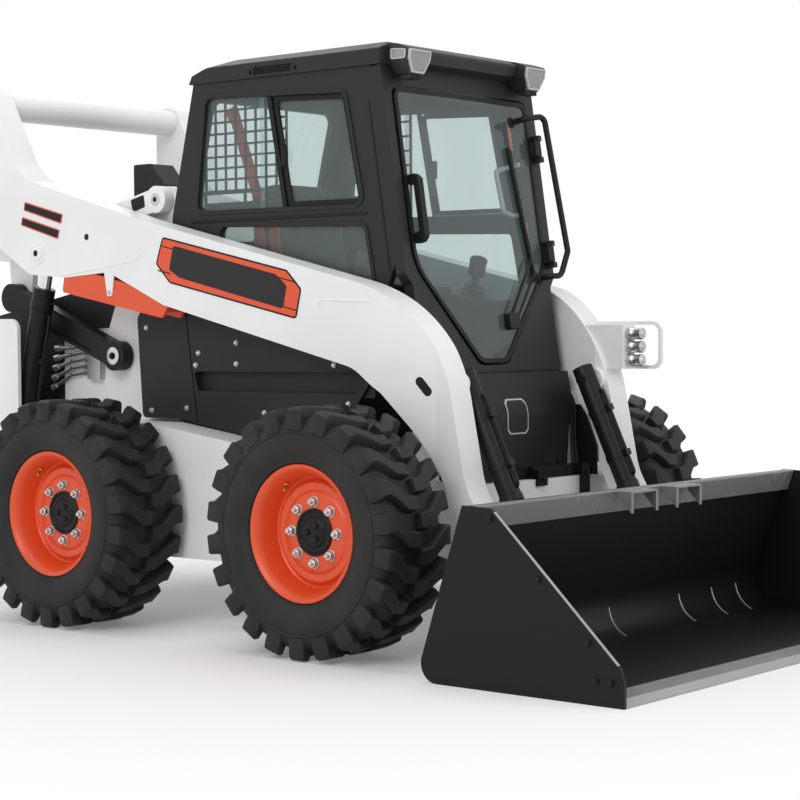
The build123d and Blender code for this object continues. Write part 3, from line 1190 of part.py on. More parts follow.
# Lift arm support stowed under the right arm
SUPPORT_OUTLINE = [
    (-1030, 1330, 0),
    (-1050, 1229, 12),
    (-495, 1125, 12),
    (-440, 1200, 0),
]
SUPPORT_CAVITY = [
    (-1012, 1262, 0),
    (-790, 1274, 0),
    (-490, 1148, 0),
    (-420, 1148, 0),
    (-420, 1080, 0),
    (-1012, 1190, 0),
]
SUPPORT_OUTER_Y = ARM_OUTER_Y - 6
SUPPORT_INNER_Y = ARM_INNER_Y + 14
SUPPORT_WALL = 12.0
with BuildPart() as arm_support:
    side_slab(SUPPORT_OUTLINE, -SUPPORT_OUTER_Y, -SUPPORT_INNER_Y)
    side_slab(SUPPORT_CAVITY, -SUPPORT_OUTER_Y + SUPPORT_WALL, -SUPPORT_INNER_Y - SUPPORT_WALL, Mode.SUBTRACT)
    side_slab(ARM_OUTLINE, -ARM_OUTER_Y, -ARM_INNER_Y, mode=Mode.SUBTRACT)
export(arm_support, "arm_support")

# Tilt cylinders
TILT_GLAND_AT = TILT_BARREL_LENGTH
with BuildPart() as tilt_barrels:
    rod_between(
        along(TILT_BASE_PIN, TILT_ROD_PIN, -45),
        along(TILT_BASE_PIN, TILT_ROD_PIN, TILT_GLAND_AT),
        TILT_BARREL_RADIUS,
        TILT_CYLINDER_Y,
    )
    disc(TILT_BASE_PIN, TILT_PIN_RADIUS + RUNNING_GAP, TILT_CYLINDER_Y - 60, TILT_CYLINDER_Y + 60, Mode.SUBTRACT)
    rod_between(
        along(TILT_BASE_PIN, TILT_ROD_PIN, 40),
        along(TILT_BASE_PIN, TILT_ROD_PIN, TILT_GLAND_AT + 1),
        TILT_ROD_RADIUS + RUNNING_GAP,
        TILT_CYLINDER_Y,
        Mode.SUBTRACT,
    )
    mirror(about=Plane.XZ)
export(tilt_barrels, "tilt_barrels")

with BuildPart() as tilt_rods:
    rod_between(along(TILT_BASE_PIN, TILT_ROD_PIN, 150), TILT_ROD_PIN, TILT_ROD_RADIUS, TILT_CYLINDER_Y)
    disc(
        TILT_ROD_PIN,
        TILT_EYE_RADIUS,
        TILT_CYLINDER_Y - TILT_EYE_WIDTH / 2,
        TILT_CYLINDER_Y + TILT_EYE_WIDTH / 2,
    )
    mirror(about=Plane.XZ)
export(tilt_rods, "tilt_rods")

# Bucket shell: floor, rounded heel and leaning back as one bent sheet
SHELL_OUTLINE = [
    (BUCKET_FRONT_X - CUTTING_EDGE_DEPTH + 60, CUTTING_EDGE_THICKNESS, 0),
    (BUCKET_HEEL_X - 24, CUTTING_EDGE_THICKNESS, BUCKET_HEEL_RADIUS),
    (BUCKET_TOP_X, BUCKET_TOP_Z, 0),
    (BUCKET_TOP_X + BUCKET_SHEET, BUCKET_TOP_Z, 0),
    (BUCKET_HEEL_X - 24 + 14, CUTTING_EDGE_THICKNESS + BUCKET_SHEET, BUCKET_HEEL_RADIUS - BUCKET_SHEET),
    (BUCKET_FRONT_X - CUTTING_EDGE_DEPTH + 60, CUTTING_EDGE_THICKNESS + BUCKET_SHEET, 0),
]
SHELL_HALF = BUCKET_HALF - BUCKET_SIDE_PLATE
with BuildPart() as bucket_shell:
    side_slab(SHELL_OUTLINE, -SHELL_HALF, SHELL_HALF)
export(bucket_shell, "bucket_shell")

# Bucket side plates
BUCKET_SIDE_OUTLINE = [
    (BUCKET_HEEL_X - 24, 0, 60),
    (BUCKET_TOP_X - 14, BUCKET_TOP_Z, 0),
    (BUCKET_TOP_X + 95, BUCKET_TOP_Z - 4, 14),
    (BUCKET_FRONT_X - 12, 112, 14),
    (BUCKET_FRONT_X, 70, 14),
    (BUCKET_FRONT_X, 0, 0),
]
with BuildPart() as bucket_sides:
    side_slab(BUCKET_SIDE_OUTLINE, SHELL_HALF, BUCKET_HALF)
    mirror(about=Plane.XZ)
export(bucket_sides, "bucket_sides")

# Cutting edge with its bevel
EDGE_OUTLINE = [
    (BUCKET_FRONT_X, 0, 0),
    (BUCKET_FRONT_X, 6, 0),
    (BUCKET_FRONT_X - CUTTING_BEVEL, CUTTING_EDGE_THICKNESS, 0),
    (BUCKET_FRONT_X - CUTTING_EDGE_DEPTH, CUTTING_EDGE_THICKNESS, 0),
    (BUCKET_FRONT_X - CUTTING_EDGE_DEPTH, 0, 0),
]
with BuildPart() as cutting_edge:
    side_slab(EDGE_OUTLINE, -SHELL_HALF, SHELL_HALF)
export(cutting_edge, "cutting_edge")

# Upper lip with the two steps on it
LIP_OUTLINE = [
    (BUCKET_TOP_X + BUCKET_SHEET, BUCKET_TOP_Z, 0),
    (BUCKET_TOP_X + BUCKET_SHEET + LIP_DEPTH, BUCKET_TOP_Z, 6),
    (BUCKET_TOP_X + BUCKET_SHEET + LIP_DEPTH - 27, BUCKET_TOP_Z - LIP_HEIGHT, 0),
    (BUCKET_TOP_X + BUCKET_SHEET - 28, BUCKET_TOP_Z - LIP_HEIGHT, 0),
]
STEP_FACE_X = BUCKET_TOP_X + BUCKET_SHEET + LIP_DEPTH - 8
with BuildPart() as bucket_lip:
    side_slab(LIP_OUTLINE, -SHELL_HALF, SHELL_HALF)
    for step_y in (STEP_OFFSET_Y - STEP_WIDTH, -STEP_OFFSET_Y):
        for cheek_y in (step_y, step_y + STEP_WIDTH - STEP_BAR):
            side_slab(
                [
                    (STEP_FACE_X, BUCKET_TOP_Z - 4, 0),
                    (STEP_FACE_X + STEP_REACH, BUCKET_TOP_Z - 4, 0),
                    (STEP_FACE_X + STEP_REACH, BUCKET_TOP_Z - LIP_HEIGHT, 0),
                ],
                cheek_y,
                cheek_y + STEP_BAR,
            )
        block(
            STEP_FACE_X,
            STEP_FACE_X + STEP_REACH,
            step_y,
            step_y + STEP_WIDTH,
            BUCKET_TOP_Z - 10,
            BUCKET_TOP_Z - 4,
        )
export(bucket_lip, "bucket_lip")

# Quick coupler: leaning plate on the bucket's back with ears for the arms and the tilt rods
BACK_SLOPE = (BUCKET_TOP_X - BUCKET_HEEL_X + 24) / (BUCKET_TOP_Z - CUTTING_EDGE_THICKNESS)


def back_x(z):
    """Gives the X of the bucket's back face at a height."""
    return BUCKET_HEEL_X - 24 + BACK_SLOPE * (z - CUTTING_EDGE_THICKNESS)


COUPLER_LOW = 110.0
COUPLER_HIGH = 500.0
COUPLER_WINDOW_TOP = 360.0
COUPLER_OUTLINE = [
    (back_x(COUPLER_LOW) - SEAT_GAP, COUPLER_LOW, 0),
    (back_x(COUPLER_HIGH) - SEAT_GAP, COUPLER_HIGH, 0),
    (back_x(COUPLER_HIGH) - COUPLER_PLATE - SEAT_GAP, COUPLER_HIGH, 8),
    (back_x(COUPLER_LOW) - COUPLER_PLATE - SEAT_GAP, COUPLER_LOW, 8),
]
EAR_TOP = COUPLER_HIGH - 40
ARM_EAR_RADIUS = 48.0
ARM_EAR_OUTLINE = [
    (BUCKET_PIN[0] - ARM_EAR_RADIUS, BUCKET_PIN[1] - ARM_EAR_RADIUS, 44),
    (BUCKET_PIN[0] - ARM_EAR_RADIUS, BUCKET_PIN[1] + ARM_EAR_RADIUS, 44),
    (back_x(EAR_TOP) - COUPLER_PLATE, EAR_TOP, 0),
    (back_x(EAR_TOP) - SEAT_GAP, EAR_TOP, 0),
    (back_x(BUCKET_PIN[1] - ARM_EAR_RADIUS) - SEAT_GAP, BUCKET_PIN[1] - ARM_EAR_RADIUS, 0),
]
ROD_EAR_RADIUS = 40.0
ROD_EAR_OUTLINE = [
    (TILT_ROD_PIN[0] - ROD_EAR_RADIUS, TILT_ROD_PIN[1] - ROD_EAR_RADIUS, 36),
    (TILT_ROD_PIN[0] - ROD_EAR_RADIUS, TILT_ROD_PIN[1] + ROD_EAR_RADIUS, 36),
    (back_x(EAR_TOP) - COUPLER_PLATE, EAR_TOP, 0),
    (back_x(EAR_TOP) - SEAT_GAP, EAR_TOP, 0),
    (back_x(TILT_ROD_PIN[1] - ROD_EAR_RADIUS) - SEAT_GAP, TILT_ROD_PIN[1] - ROD_EAR_RADIUS, 0),
]
ROD_EAR_OFFSET = TILT_EYE_WIDTH / 2 + 4
ARM_EAR_IN = LEG_INNER_Y - COUPLER_EAR_GAP
ARM_EAR_OUT = LEG_OUTER_Y + COUPLER_EAR_GAP
with BuildPart() as quick_coupler:
    side_slab(COUPLER_OUTLINE, 0, COUPLER_HALF)
    block(
        BUCKET_PIN[0],
        BUCKET_TOP_X,
        TILT_CYLINDER_Y - ROD_EAR_OFFSET,
        ARM_EAR_OUT,
        COUPLER_LOW - 1,
        COUPLER_WINDOW_TOP,
        Mode.SUBTRACT,
    )
    side_slab(ARM_EAR_OUTLINE, ARM_EAR_OUT, ARM_EAR_OUT + COUPLER_EAR)
    side_slab(ARM_EAR_OUTLINE, ARM_EAR_IN - COUPLER_EAR, ARM_EAR_IN)
    side_slab(ROD_EAR_OUTLINE, TILT_CYLINDER_Y + ROD_EAR_OFFSET, TILT_CYLINDER_Y + ROD_EAR_OFFSET + COUPLER_EAR)
    side_slab(ROD_EAR_OUTLINE, TILT_CYLINDER_Y - ROD_EAR_OFFSET - COUPLER_EAR, TILT_CYLINDER_Y - ROD_EAR_OFFSET)
    disc(BUCKET_PIN, LIFT_PIN_RADIUS, ARM_EAR_IN - COUPLER_EAR, ARM_EAR_OUT + COUPLER_EAR)
    mirror(about=Plane.XZ)
export(quick_coupler, "quick_coupler")

# Front door: thin rim with its two hinge knuckles, and the glass
with BuildPart() as door_frame:
    with BuildSketch(FRONT_PLANE.offset(DOOR_PROUD)):
        with BuildLine():
            FilletPolyline(*shield(0), radius=SHIELD_RADII, close=True)
        make_face()
    extrude(amount=-DOOR_FRAME_DEPTH)
    with BuildSketch(FRONT_PLANE.offset(DOOR_PROUD + 1)):
        with BuildLine():
            FilletPolyline(*shield(-DOOR_RIM), radius=GLASS_RADII, close=True)
        make_face()
    extrude(amount=-DOOR_FRAME_DEPTH - 2, mode=Mode.SUBTRACT)
    for hinge_z in DOOR_HINGES_Z:
        height = front_height(hinge_z)
        front_plate(DOOR_HALF - DOOR_RIM + 2, DOOR_HINGE_Y, height - KNUCKLE_HALF, height + KNUCKLE_HALF,
                    DOOR_PROUD, DOOR_HINGE_OUT + KNUCKLE_RADIUS)
        hinge_post(height - KNUCKLE_HALF, height + KNUCKLE_HALF, KNUCKLE_RADIUS)
        hinge_post(height - KNUCKLE_HALF - 1, height + KNUCKLE_HALF + 1, HINGE_PIN_RADIUS + RUNNING_GAP,
                   Mode.SUBTRACT)
export(door_frame, "door_frame")

with BuildPart() as door_glass:
    with BuildSketch(FRONT_PLANE):
        with BuildLine():
            FilletPolyline(*shield(-DOOR_RIM), radius=GLASS_RADII, close=True)
        make_face()
    extrude(amount=-GLASS_THICKNESS)
export(door_glass, "door_glass")

# Door fittings: hinge-side guard tube, pull handle and wiper
GUARD_TUBE_RADIUS = 11.0
GUARD_TUBE = (
    (278.0, 1834.0, SEAT_GAP),
    (278.0, 1834.0, 72.0),
    (362.0, 1845.0, 92.0),
    (405.0, 1349.0, 92.0),
    (385.0, 1262.0, 62.0),
    (331.0, 1262.0, 62.0),
    (331.0, 1262.0, DOOR_PROUD + SEAT_GAP),
)
HANDLE_Y = -345.0
HANDLE_Z = (1372.0, 1608.0)
HANDLE_WIDTH = 26.0
HANDLE_FOOT = 34.0
HANDLE_OUT = 48.0
HANDLE_GRIP = 20.0
WIPER_PIVOT = (118.0, 1104.0)
WIPER_JOINT = (283.0, 1307.0)
WIPER_TOP = (226.0, 1737.0)
BLADE_HALF = 6.5
BLADE_OUT = 16.0
WIPER_ARM_OUT = 24.0
WIPER_BOX_HALF = 28.0
WIPER_LOW = (290.0, 1250.0)


def front_bar(start, end, half_width, out_low, out_high):
    """Adds a flat bar on the leaning front between two (y, z) points."""
    low = Vector(start[0], front_height(start[1]))
    high = Vector(end[0], front_height(end[1]))
    with BuildSketch(FRONT_PLANE.offset(out_low)) as profile:
        with Locations(Location((low + high) / 2, degrees(atan2(high.Y - low.Y, high.X - low.X)))):
            Rectangle((high - low).length, 2 * half_width)
    extrude(profile.sketch, amount=out_high - out_low)


with BuildPart() as door_fittings:
    corners = [FRONT_PLANE.from_local_coords((y, front_height(z), out)) for y, z, out in GUARD_TUBE]
    with BuildLine() as guard_path:
        Polyline(*corners)
    with BuildSketch(Plane(origin=guard_path.line @ 0, z_dir=guard_path.line % 0)):
        Circle(GUARD_TUBE_RADIUS)
    sweep(path=guard_path.line, transition=Transition.RIGHT)
    for foot_z in (HANDLE_Z[0], HANDLE_Z[1] - HANDLE_FOOT):
        front_plate(HANDLE_Y - HANDLE_WIDTH / 2, HANDLE_Y + HANDLE_WIDTH / 2, front_height(foot_z),
                    front_height(foot_z) + HANDLE_FOOT, SEAT_GAP, HANDLE_OUT)
    front_plate(HANDLE_Y - HANDLE_WIDTH / 2, HANDLE_Y + HANDLE_WIDTH / 2, front_height(HANDLE_Z[0]),
                front_height(HANDLE_Z[1]), HANDLE_OUT - HANDLE_GRIP, HANDLE_OUT)
    front_bar(WIPER_LOW, WIPER_TOP, BLADE_HALF, SEAT_GAP, BLADE_OUT)
    front_bar(WIPER_PIVOT, WIPER_JOINT, BLADE_HALF, BLADE_OUT - 2, WIPER_ARM_OUT)
    pivot_up = front_height(WIPER_PIVOT[1])
    front_plate(WIPER_PIVOT[0] - WIPER_BOX_HALF, WIPER_PIVOT[0] + WIPER_BOX_HALF, pivot_up - WIPER_BOX_HALF,
                pivot_up + WIPER_BOX_HALF, SEAT_GAP, WIPER_ARM_OUT)
export(door_fittings, "door_fittings")

# Tailgate with its louvred grille and hinge knuckles
with BuildPart() as tailgate:
    block(GATE_X, GATE_X + GATE_DEPTH, -GATE_HALF, GATE_HALF, GATE_BOTTOM, GATE_TOP)
    slot_pitch = (GATE_TOP - GATE_BOTTOM - 2 * GATE_SLOT_MARGIN) / GATE_SLOT_COUNT
    for i in range(GATE_SLOT_COUNT):
        slot_z = GATE_BOTTOM + GATE_SLOT_MARGIN + i * slot_pitch
        slot_half = GATE_HALF - GATE_SLOT_MARGIN
        block(GATE_X - 1, GATE_X + GATE_SLOT_DEPTH, -slot_half, slot_half, slot_z, slot_z + GATE_SLOT_HEIGHT,
              Mode.SUBTRACT)
    for hinge_z in GATE_HINGES_Z:
        gate_post(hinge_z - KNUCKLE_HALF - HINGE_LUG - 6, hinge_z + KNUCKLE_HALF + HINGE_LUG + 6,
                  KNUCKLE_RADIUS + 6, Mode.SUBTRACT)
        block(GATE_X, GATE_X + GATE_DEPTH / 2, GATE_HALF - 40, GATE_HINGE_Y, hinge_z - KNUCKLE_HALF,
              hinge_z + KNUCKLE_HALF)
        gate_post(hinge_z - KNUCKLE_HALF, hinge_z + KNUCKLE_HALF, KNUCKLE_RADIUS)
        gate_post(hinge_z - KNUCKLE_HALF - 1, hinge_z + KNUCKLE_HALF + 1, HINGE_PIN_RADIUS + RUNNING_GAP,
                  Mode.SUBTRACT)
export(tailgate, "tailgate")
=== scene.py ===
"""Looks of a skid steer loader with a dirt bucket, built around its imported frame.

Metres. X runs forward, Y to the machine's left, Z up from the ground.
"""

import logging
import math
from dataclasses import dataclass
from enum import Enum
from typing import Any, Iterable, Sequence

import bpy
import numpy as np
from mathutils import Matrix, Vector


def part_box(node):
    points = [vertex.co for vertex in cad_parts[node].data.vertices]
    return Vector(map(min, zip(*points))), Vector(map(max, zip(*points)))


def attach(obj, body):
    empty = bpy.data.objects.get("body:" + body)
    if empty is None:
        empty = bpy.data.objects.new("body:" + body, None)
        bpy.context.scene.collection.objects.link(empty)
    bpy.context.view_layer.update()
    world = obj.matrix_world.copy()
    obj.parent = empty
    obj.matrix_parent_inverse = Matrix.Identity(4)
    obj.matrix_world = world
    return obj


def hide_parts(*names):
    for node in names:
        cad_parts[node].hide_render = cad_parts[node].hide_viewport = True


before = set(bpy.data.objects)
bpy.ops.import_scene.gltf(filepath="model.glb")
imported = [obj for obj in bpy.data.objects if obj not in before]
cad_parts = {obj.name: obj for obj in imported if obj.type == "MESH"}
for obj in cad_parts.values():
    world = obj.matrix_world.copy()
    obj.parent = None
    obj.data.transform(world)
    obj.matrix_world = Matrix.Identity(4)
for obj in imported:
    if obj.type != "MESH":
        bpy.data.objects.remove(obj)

LOG = logging.getLogger("loader")
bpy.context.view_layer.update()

Array = np.ndarray
Colour = tuple[float, float, float]
Spot = Sequence[float]
Outline = Sequence[tuple[float, float]]

FORWARD, BACKWARD = (1.0, 0.0, 0.0), (-1.0, 0.0, 0.0)
LEFT, RIGHT, UP = (0.0, 1.0, 0.0), (0.0, -1.0, 0.0), (0.0, 0.0, 1.0)


class Side(Enum):
    """The machine's two sides, as the sign of Y."""

    LEFT = 1
    RIGHT = -1


class Axle(Enum):
    """The two wheel axles."""

    FRONT = "front"
    REAR = "rear"


# Shader graphs


class Wire:
    """A shader value that takes part in Python arithmetic by adding Math nodes."""

    def __init__(self, graph: "Graph", socket: bpy.types.NodeSocket) -> None:
        """Keeps the socket and the graph that it belongs to."""
        self.graph = graph
        self.socket = socket

    def _math(self, operation: str, first: Any, second: Any) -> "Wire":
        """Adds one Math node."""
        return self.graph.node("ShaderNodeMath", {"operation": operation}, {0: first, 1: second})

    def __add__(self, other: Any) -> "Wire":
        """Adds."""
        return self._math("ADD", self, other)

    def __radd__(self, other: Any) -> "Wire":
        """Adds to a number."""
        return self._math("ADD", other, self)

    def __sub__(self, other: Any) -> "Wire":
        """Subtracts."""
        return self._math("SUBTRACT", self, other)

    def __rsub__(self, other: Any) -> "Wire":
        """Subtracts from a number."""
        return self._math("SUBTRACT", other, self)

    def __mul__(self, other: Any) -> "Wire":
        """Multiplies."""
        return self._math("MULTIPLY", self, other)

    def over(self, other: Any) -> "Wire":
        """Takes the larger of two values."""
        return self._math("MAXIMUM", self, other)

    def step(self, low: float, high: float) -> "Wire":
        """Rises smoothly from 0 to 1 between two values.

        Args:
            low: The value that gives 0.
            high: The value that gives 1.

        Returns:
            The smoothed value.
        """
        inputs = {"Value": self, "From Min": low, "From Max": high}
        return self.graph.node("ShaderNodeMapRange", {"interpolation_type": "SMOOTHSTEP"}, inputs)


class Graph:
    """The node tree of a material or a world."""

    def __init__(self, owner: bpy.types.ID) -> None:
        """Empties the owner's tree."""
        owner.use_nodes = True
        self.tree = owner.node_tree
        self.tree.nodes.clear()

    def node(
        self,
        kind: str,
        settings: dict[str, Any] | None = None,
        inputs: dict[int | str, Any] | None = None,
        out: int | str = 0,
    ) -> Wire:
        """Adds a node of any type.

        Args:
            kind: The node's type name.
            settings: Its properties.
            inputs: Values or wires for its sockets, by name or number.
            out: The output to hand back.

        Returns:
            The chosen output as a wire.
        """
        made = self.tree.nodes.new(kind)
        for key, value in (settings or {}).items():
            setattr(made, key, value)
        for key, value in (inputs or {}).items():
            if isinstance(value, Wire):
                self.tree.links.new(value.socket, made.inputs[key])
            else:
                made.inputs[key].default_value = value
        return Wire(self, made.outputs[out])

    def spot(self) -> Wire:
        """Gives the Object coordinates."""
        return self.node("ShaderNodeTexCoord", out="Object")

    def noise(self, scale: float, detail: float = 2.0, stretch: Sequence[float] = (1, 1, 1)) -> Wire:
        """Gives a noise value on Object coordinates.

        Args:
            scale: Cells per metre.
            detail: Octaves.
            stretch: Scale of the pattern along each axis.

        Returns:
            The noise value, about 0.5 on average.
        """
        place = self.node("ShaderNodeMapping", inputs={"Vector": self.spot(), "Scale": tuple(stretch)})
        return self.node("ShaderNodeTexNoise", inputs={"Vector": place, "Scale": scale, "Detail": detail})

    def axis(self, name: str) -> Wire:
        """Gives one of the Object coordinates X, Y or Z."""
        return self.node("ShaderNodeSeparateXYZ", inputs={0: self.spot()}, out=name)

    def mix(self, share: Any, first: Any, second: Any) -> Wire:
        """Mixes two colours.

        Args:
            share: How much of the second colour shows.
            first: A colour or a wire.
            second: A colour or a wire.

        Returns:
            The mixed colour.
        """
        pick = [(*c, 1.0) if isinstance(c, tuple) else c for c in (first, second)]
        return self.node("ShaderNodeMix", {"data_type": "RGBA"}, {0: share, 6: pick[0], 7: pick[1]}, out=2)

    def bump(self, height: Wire, depth: float, strength: float = 1.0) -> Wire:
        """Turns a height into a normal.

        Args:
            height: The height, from 0 to 1.
            depth: What 1 stands for, in metres.
            strength: How strongly it shows.

        Returns:
            The bent normal.
        """
        return self.node("ShaderNodeBump", inputs={"Height": height, "Distance": depth, "Strength": strength})

    def surface(self, shader: Wire, output: str = "ShaderNodeOutputMaterial") -> None:
        """Links a shader to the tree's output."""
        end = self.tree.nodes.new(output)
        self.tree.links.new(shader.socket, end.inputs["Surface"])

    def principled(self, **sockets: Any) -> Wire:
        """Adds a Principled shader; underscores in socket names stand for spaces."""
        inputs = {key.replace("_", " "): value for key, value in sockets.items()}
        for key, value in inputs.items():
            if isinstance(value, tuple) and len(value) == 3:
                inputs[key] = (*value, 1.0)
        return self.node("ShaderNodeBsdfPrincipled", inputs=inputs)


# Finishes


@dataclass(frozen=True)
class Finish:
    """What a surface looks like: its name and the record's material slot that it belongs to."""

    name: str
    slot: str

    def shader(self, graph: Graph) -> Wire:
        """Builds the finish's shader in a graph."""
        raise NotImplementedError

    def material(self) -> bpy.types.Material:
        """Builds the finish's material."""
        made = bpy.data.materials.new(self.name)
        graph = Graph(made)
        graph.surface(self.shader(graph))
        return made


@dataclass(frozen=True)
class Paint(Finish):
    """Machine paint: a flat colour with fine peel, faint cloudiness and a clear coat."""

    colour: Colour
    roughness: float = 0.42
    coat: float = 0.15
    shine: float = 0.5
    peel: float = 0.00012
    grain: float = 420.0
    cloud: float = 0.05

    def shader(self, graph: Graph) -> Wire:
        """Builds the paint."""
        clouds = graph.noise(3.1, 3.0)
        dark = tuple(channel * (1 - self.cloud) for channel in self.colour)
        colour = graph.mix(clouds.step(0.35, 0.65), dark, self.colour)
        rough = self.roughness + (graph.noise(9.0, 3.0) - 0.5) * 0.12
        normal = graph.bump(graph.noise(self.grain, 2.0), self.peel)
        return graph.principled(Base_Color=colour, Roughness=rough, Normal=normal, Coat_Weight=self.coat,
                                Coat_Roughness=0.12, Specular_IOR_Level=self.shine)


@dataclass(frozen=True)
class Metal(Finish):
    """Bare or plated metal with fine brushing."""

    colour: Colour
    roughness: float = 0.3
    metallic: float = 1.0
    brush: float = 0.1

    def shader(self, graph: Graph) -> Wire:
        """Builds the metal."""
        lines = graph.noise(60.0, 3.0, (0.4, 4.0, 4.0))
        rough = self.roughness + (lines - 0.5) * self.brush
        dark = tuple(channel * 0.82 for channel in self.colour)
        colour = graph.mix(graph.noise(14.0, 4.0).step(0.3, 0.7), dark, self.colour)
        return graph.principled(Base_Color=colour, Roughness=rough, Metallic=self.metallic)


@dataclass(frozen=True)
class Rubber(Finish):
    """Tyre and hose rubber with a dusty bloom."""

    colour: Colour
    bloom: Colour
    roughness: float = 0.62
    share: float = 0.35

    def shader(self, graph: Graph) -> Wire:
        """Builds the rubber."""
        dust = graph.noise(7.0, 5.0).step(0.4, 0.75) * self.share
        colour = graph.mix(dust, self.colour, self.bloom)
        rough = self.roughness + (graph.noise(40.0, 3.0) - 0.5) * 0.15
        normal = graph.bump(graph.noise(260.0, 3.0), 0.0003, 0.6)
        return graph.principled(Base_Color=colour, Roughness=rough, Specular_IOR_Level=0.32, Normal=normal)


@dataclass(frozen=True)
class Glass(Finish):
    """Thin window glass: a tinted see-through sheet with a clear gloss."""

    tint: Colour
    bloom: Colour
    haze: float = 0.14
    index: float = 1.5
    gloss: float = 0.02

    def shader(self, graph: Graph) -> Wire:
        """Builds the glass."""
        through = graph.node("ShaderNodeBsdfTransparent", inputs={"Color": (*self.tint, 1.0)})
        shine = graph.node("ShaderNodeBsdfGlossy", inputs={"Roughness": self.gloss})
        edge = graph.node("ShaderNodeFresnel", inputs={"IOR": self.index})
        front = 1.0 - graph.node("ShaderNodeNewGeometry", out="Backfacing")
        veil = graph.node("ShaderNodeBsdfDiffuse", inputs={"Color": (*self.bloom, 1.0)})
        body = graph.node("ShaderNodeMixShader", inputs={0: front * self.haze, 1: through, 2: veil})
        return graph.node("ShaderNodeMixShader", inputs={0: edge * front, 1: body, 2: shine})


@dataclass(frozen=True)
class Plastic(Finish):
    """Moulded plastic or a coloured lens."""

    colour: Colour
    roughness: float = 0.35
    texture: float = 0.0

    def shader(self, graph: Graph) -> Wire:
        """Builds the plastic."""
        sockets: dict[str, Any] = {"Base_Color": self.colour, "Roughness": self.roughness}
        if self.texture:
            sockets["Normal"] = graph.bump(graph.noise(900.0, 2.0), self.texture)
        return graph.principled(**sockets)


@dataclass(frozen=True)
class WornSteel(Finish):
    """Rolled steel plate with mill marks and light scuffs along its run."""

    colour: Colour
    scuff: Colour
    roughness: float = 0.5
    metallic: float = 0.35

    def shader(self, graph: Graph) -> Wire:
        """Builds the plate."""
        streaks = graph.noise(26.0, 4.0, (0.5, 3.0, 1.0)).step(0.48, 0.8)
        blotch = graph.noise(5.0, 4.0).step(0.35, 0.7)
        colour = graph.mix(streaks * blotch * 0.7, self.colour, self.scuff)
        rough = self.roughness + (streaks - 0.5) * 0.15
        normal = graph.bump(graph.noise(180.0, 3.0), 0.0002)
        return graph.principled(Base_Color=colour, Roughness=rough, Metallic=self.metallic, Normal=normal)


@dataclass(frozen=True)
class Fabric(Finish):
    """Woven cover with a fine over-and-under weave and painted highlight on its raised crossings."""

    colour: Colour
    thread: float = 0.0016

    def shader(self, graph: Graph) -> Wire:
        """Builds the cloth, painting the raised crossings of the weave lighter as highlight."""
        turns = 2 * math.pi / self.thread
        across = graph.node("ShaderNodeMath", {"operation": "SINE"}, {0: graph.axis("Y") * turns})
        along = graph.node("ShaderNodeMath", {"operation": "SINE"}, {0: graph.axis("Z") * turns})
        weave = across * along * 0.5 + 0.5
        # Painted highlight: a lighter copy of the colour where the weave's crossings stand highest.
        light = tuple(min(1.0, channel * 1.7) for channel in self.colour)
        colour = graph.mix(weave * 0.5, self.colour, light)
        normal = graph.bump(weave, 0.0003)
        return graph.principled(Base_Color=colour, Roughness=0.85, Normal=normal, Sheen_Weight=0.2)


WHITE = Paint("white_paint", "white_paint", (0.90, 0.905, 0.905))
CHARCOAL = Paint("charcoal_paint", "charcoal_paint", (0.016, 0.016, 0.017), roughness=0.5, coat=0.02,
                 shine=0.28, peel=0.0003, grain=700.0)
BLACK = Paint("black_paint", "black_paint", (0.008, 0.008, 0.0085), roughness=0.42, coat=0.02, shine=0.20)
ORANGE = Paint("orange_paint", "orange_paint", (0.80, 0.085, 0.018), roughness=0.4)
PALE_GREY = Paint("pale_grey_paint", "grey_paint", (0.50, 0.51, 0.52), roughness=0.45)
TYRE = Rubber("tyre_rubber", "tyre", (0.012, 0.012, 0.0125), (0.04, 0.039, 0.037))
SEAL = Rubber("seal_rubber", "black_paint", (0.010, 0.010, 0.010), (0.02, 0.02, 0.02), roughness=0.5,
              share=0.1)
HOSE = Rubber("hose_rubber", "black_paint", (0.012, 0.012, 0.012), (0.025, 0.025, 0.025), roughness=0.45,
              share=0.2)
STEEL = Metal("plated_steel", "steel", (0.62, 0.62, 0.61), roughness=0.32)
CHROME = Metal("chromed_rod", "steel", (0.80, 0.80, 0.80), roughness=0.12, brush=0.04)
BRASS = Metal("brass", "steel", (0.65, 0.45, 0.16), roughness=0.3)
PLATE = WornSteel("lip_steel", "steel", (0.20, 0.20, 0.205), (0.40, 0.40, 0.40))
EDGE = WornSteel("edge_steel", "steel", (0.36, 0.36, 0.365), (0.55, 0.55, 0.55), roughness=0.42)
CLEAR = Glass("cab_window", "glass", (0.88, 0.92, 0.92), (0.50, 0.62, 0.62))
SEAT_CLOTH = Fabric("seat_cloth", "seat_fabric", (0.020, 0.020, 0.022))
BLACK_PLASTIC = Plastic("black_plastic", "black_paint", (0.014, 0.014, 0.015), 0.45, 0.0002)
LAMP_LENS = Plastic("lamp_lens", "lamp_plastic", (0.30, 0.31, 0.32), 0.10)
RED_LENS = Plastic("red_lens", "red_lens", (0.42, 0.012, 0.012), 0.12)
BELT = Fabric("belt_webbing", "orange_paint", (0.80, 0.09, 0.03), 0.0012)

FINISHES: dict[str, bpy.types.Material] = {}


def material_of(finish: Finish) -> bpy.types.Material:
    """Gives a finish's material, building it once."""
    if finish.name not in FINISHES:
        FINISHES[finish.name] = finish.material()
    return FINISHES[finish.name]


def dress(node: str, finish: Finish) -> None:
    """Gives a node of the frame its finish."""
    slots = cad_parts[node].data.materials
    slots.clear()
    slots.append(material_of(finish))
    LOG.info("dressed %s in %s", node, finish.name)


# Mesh forms


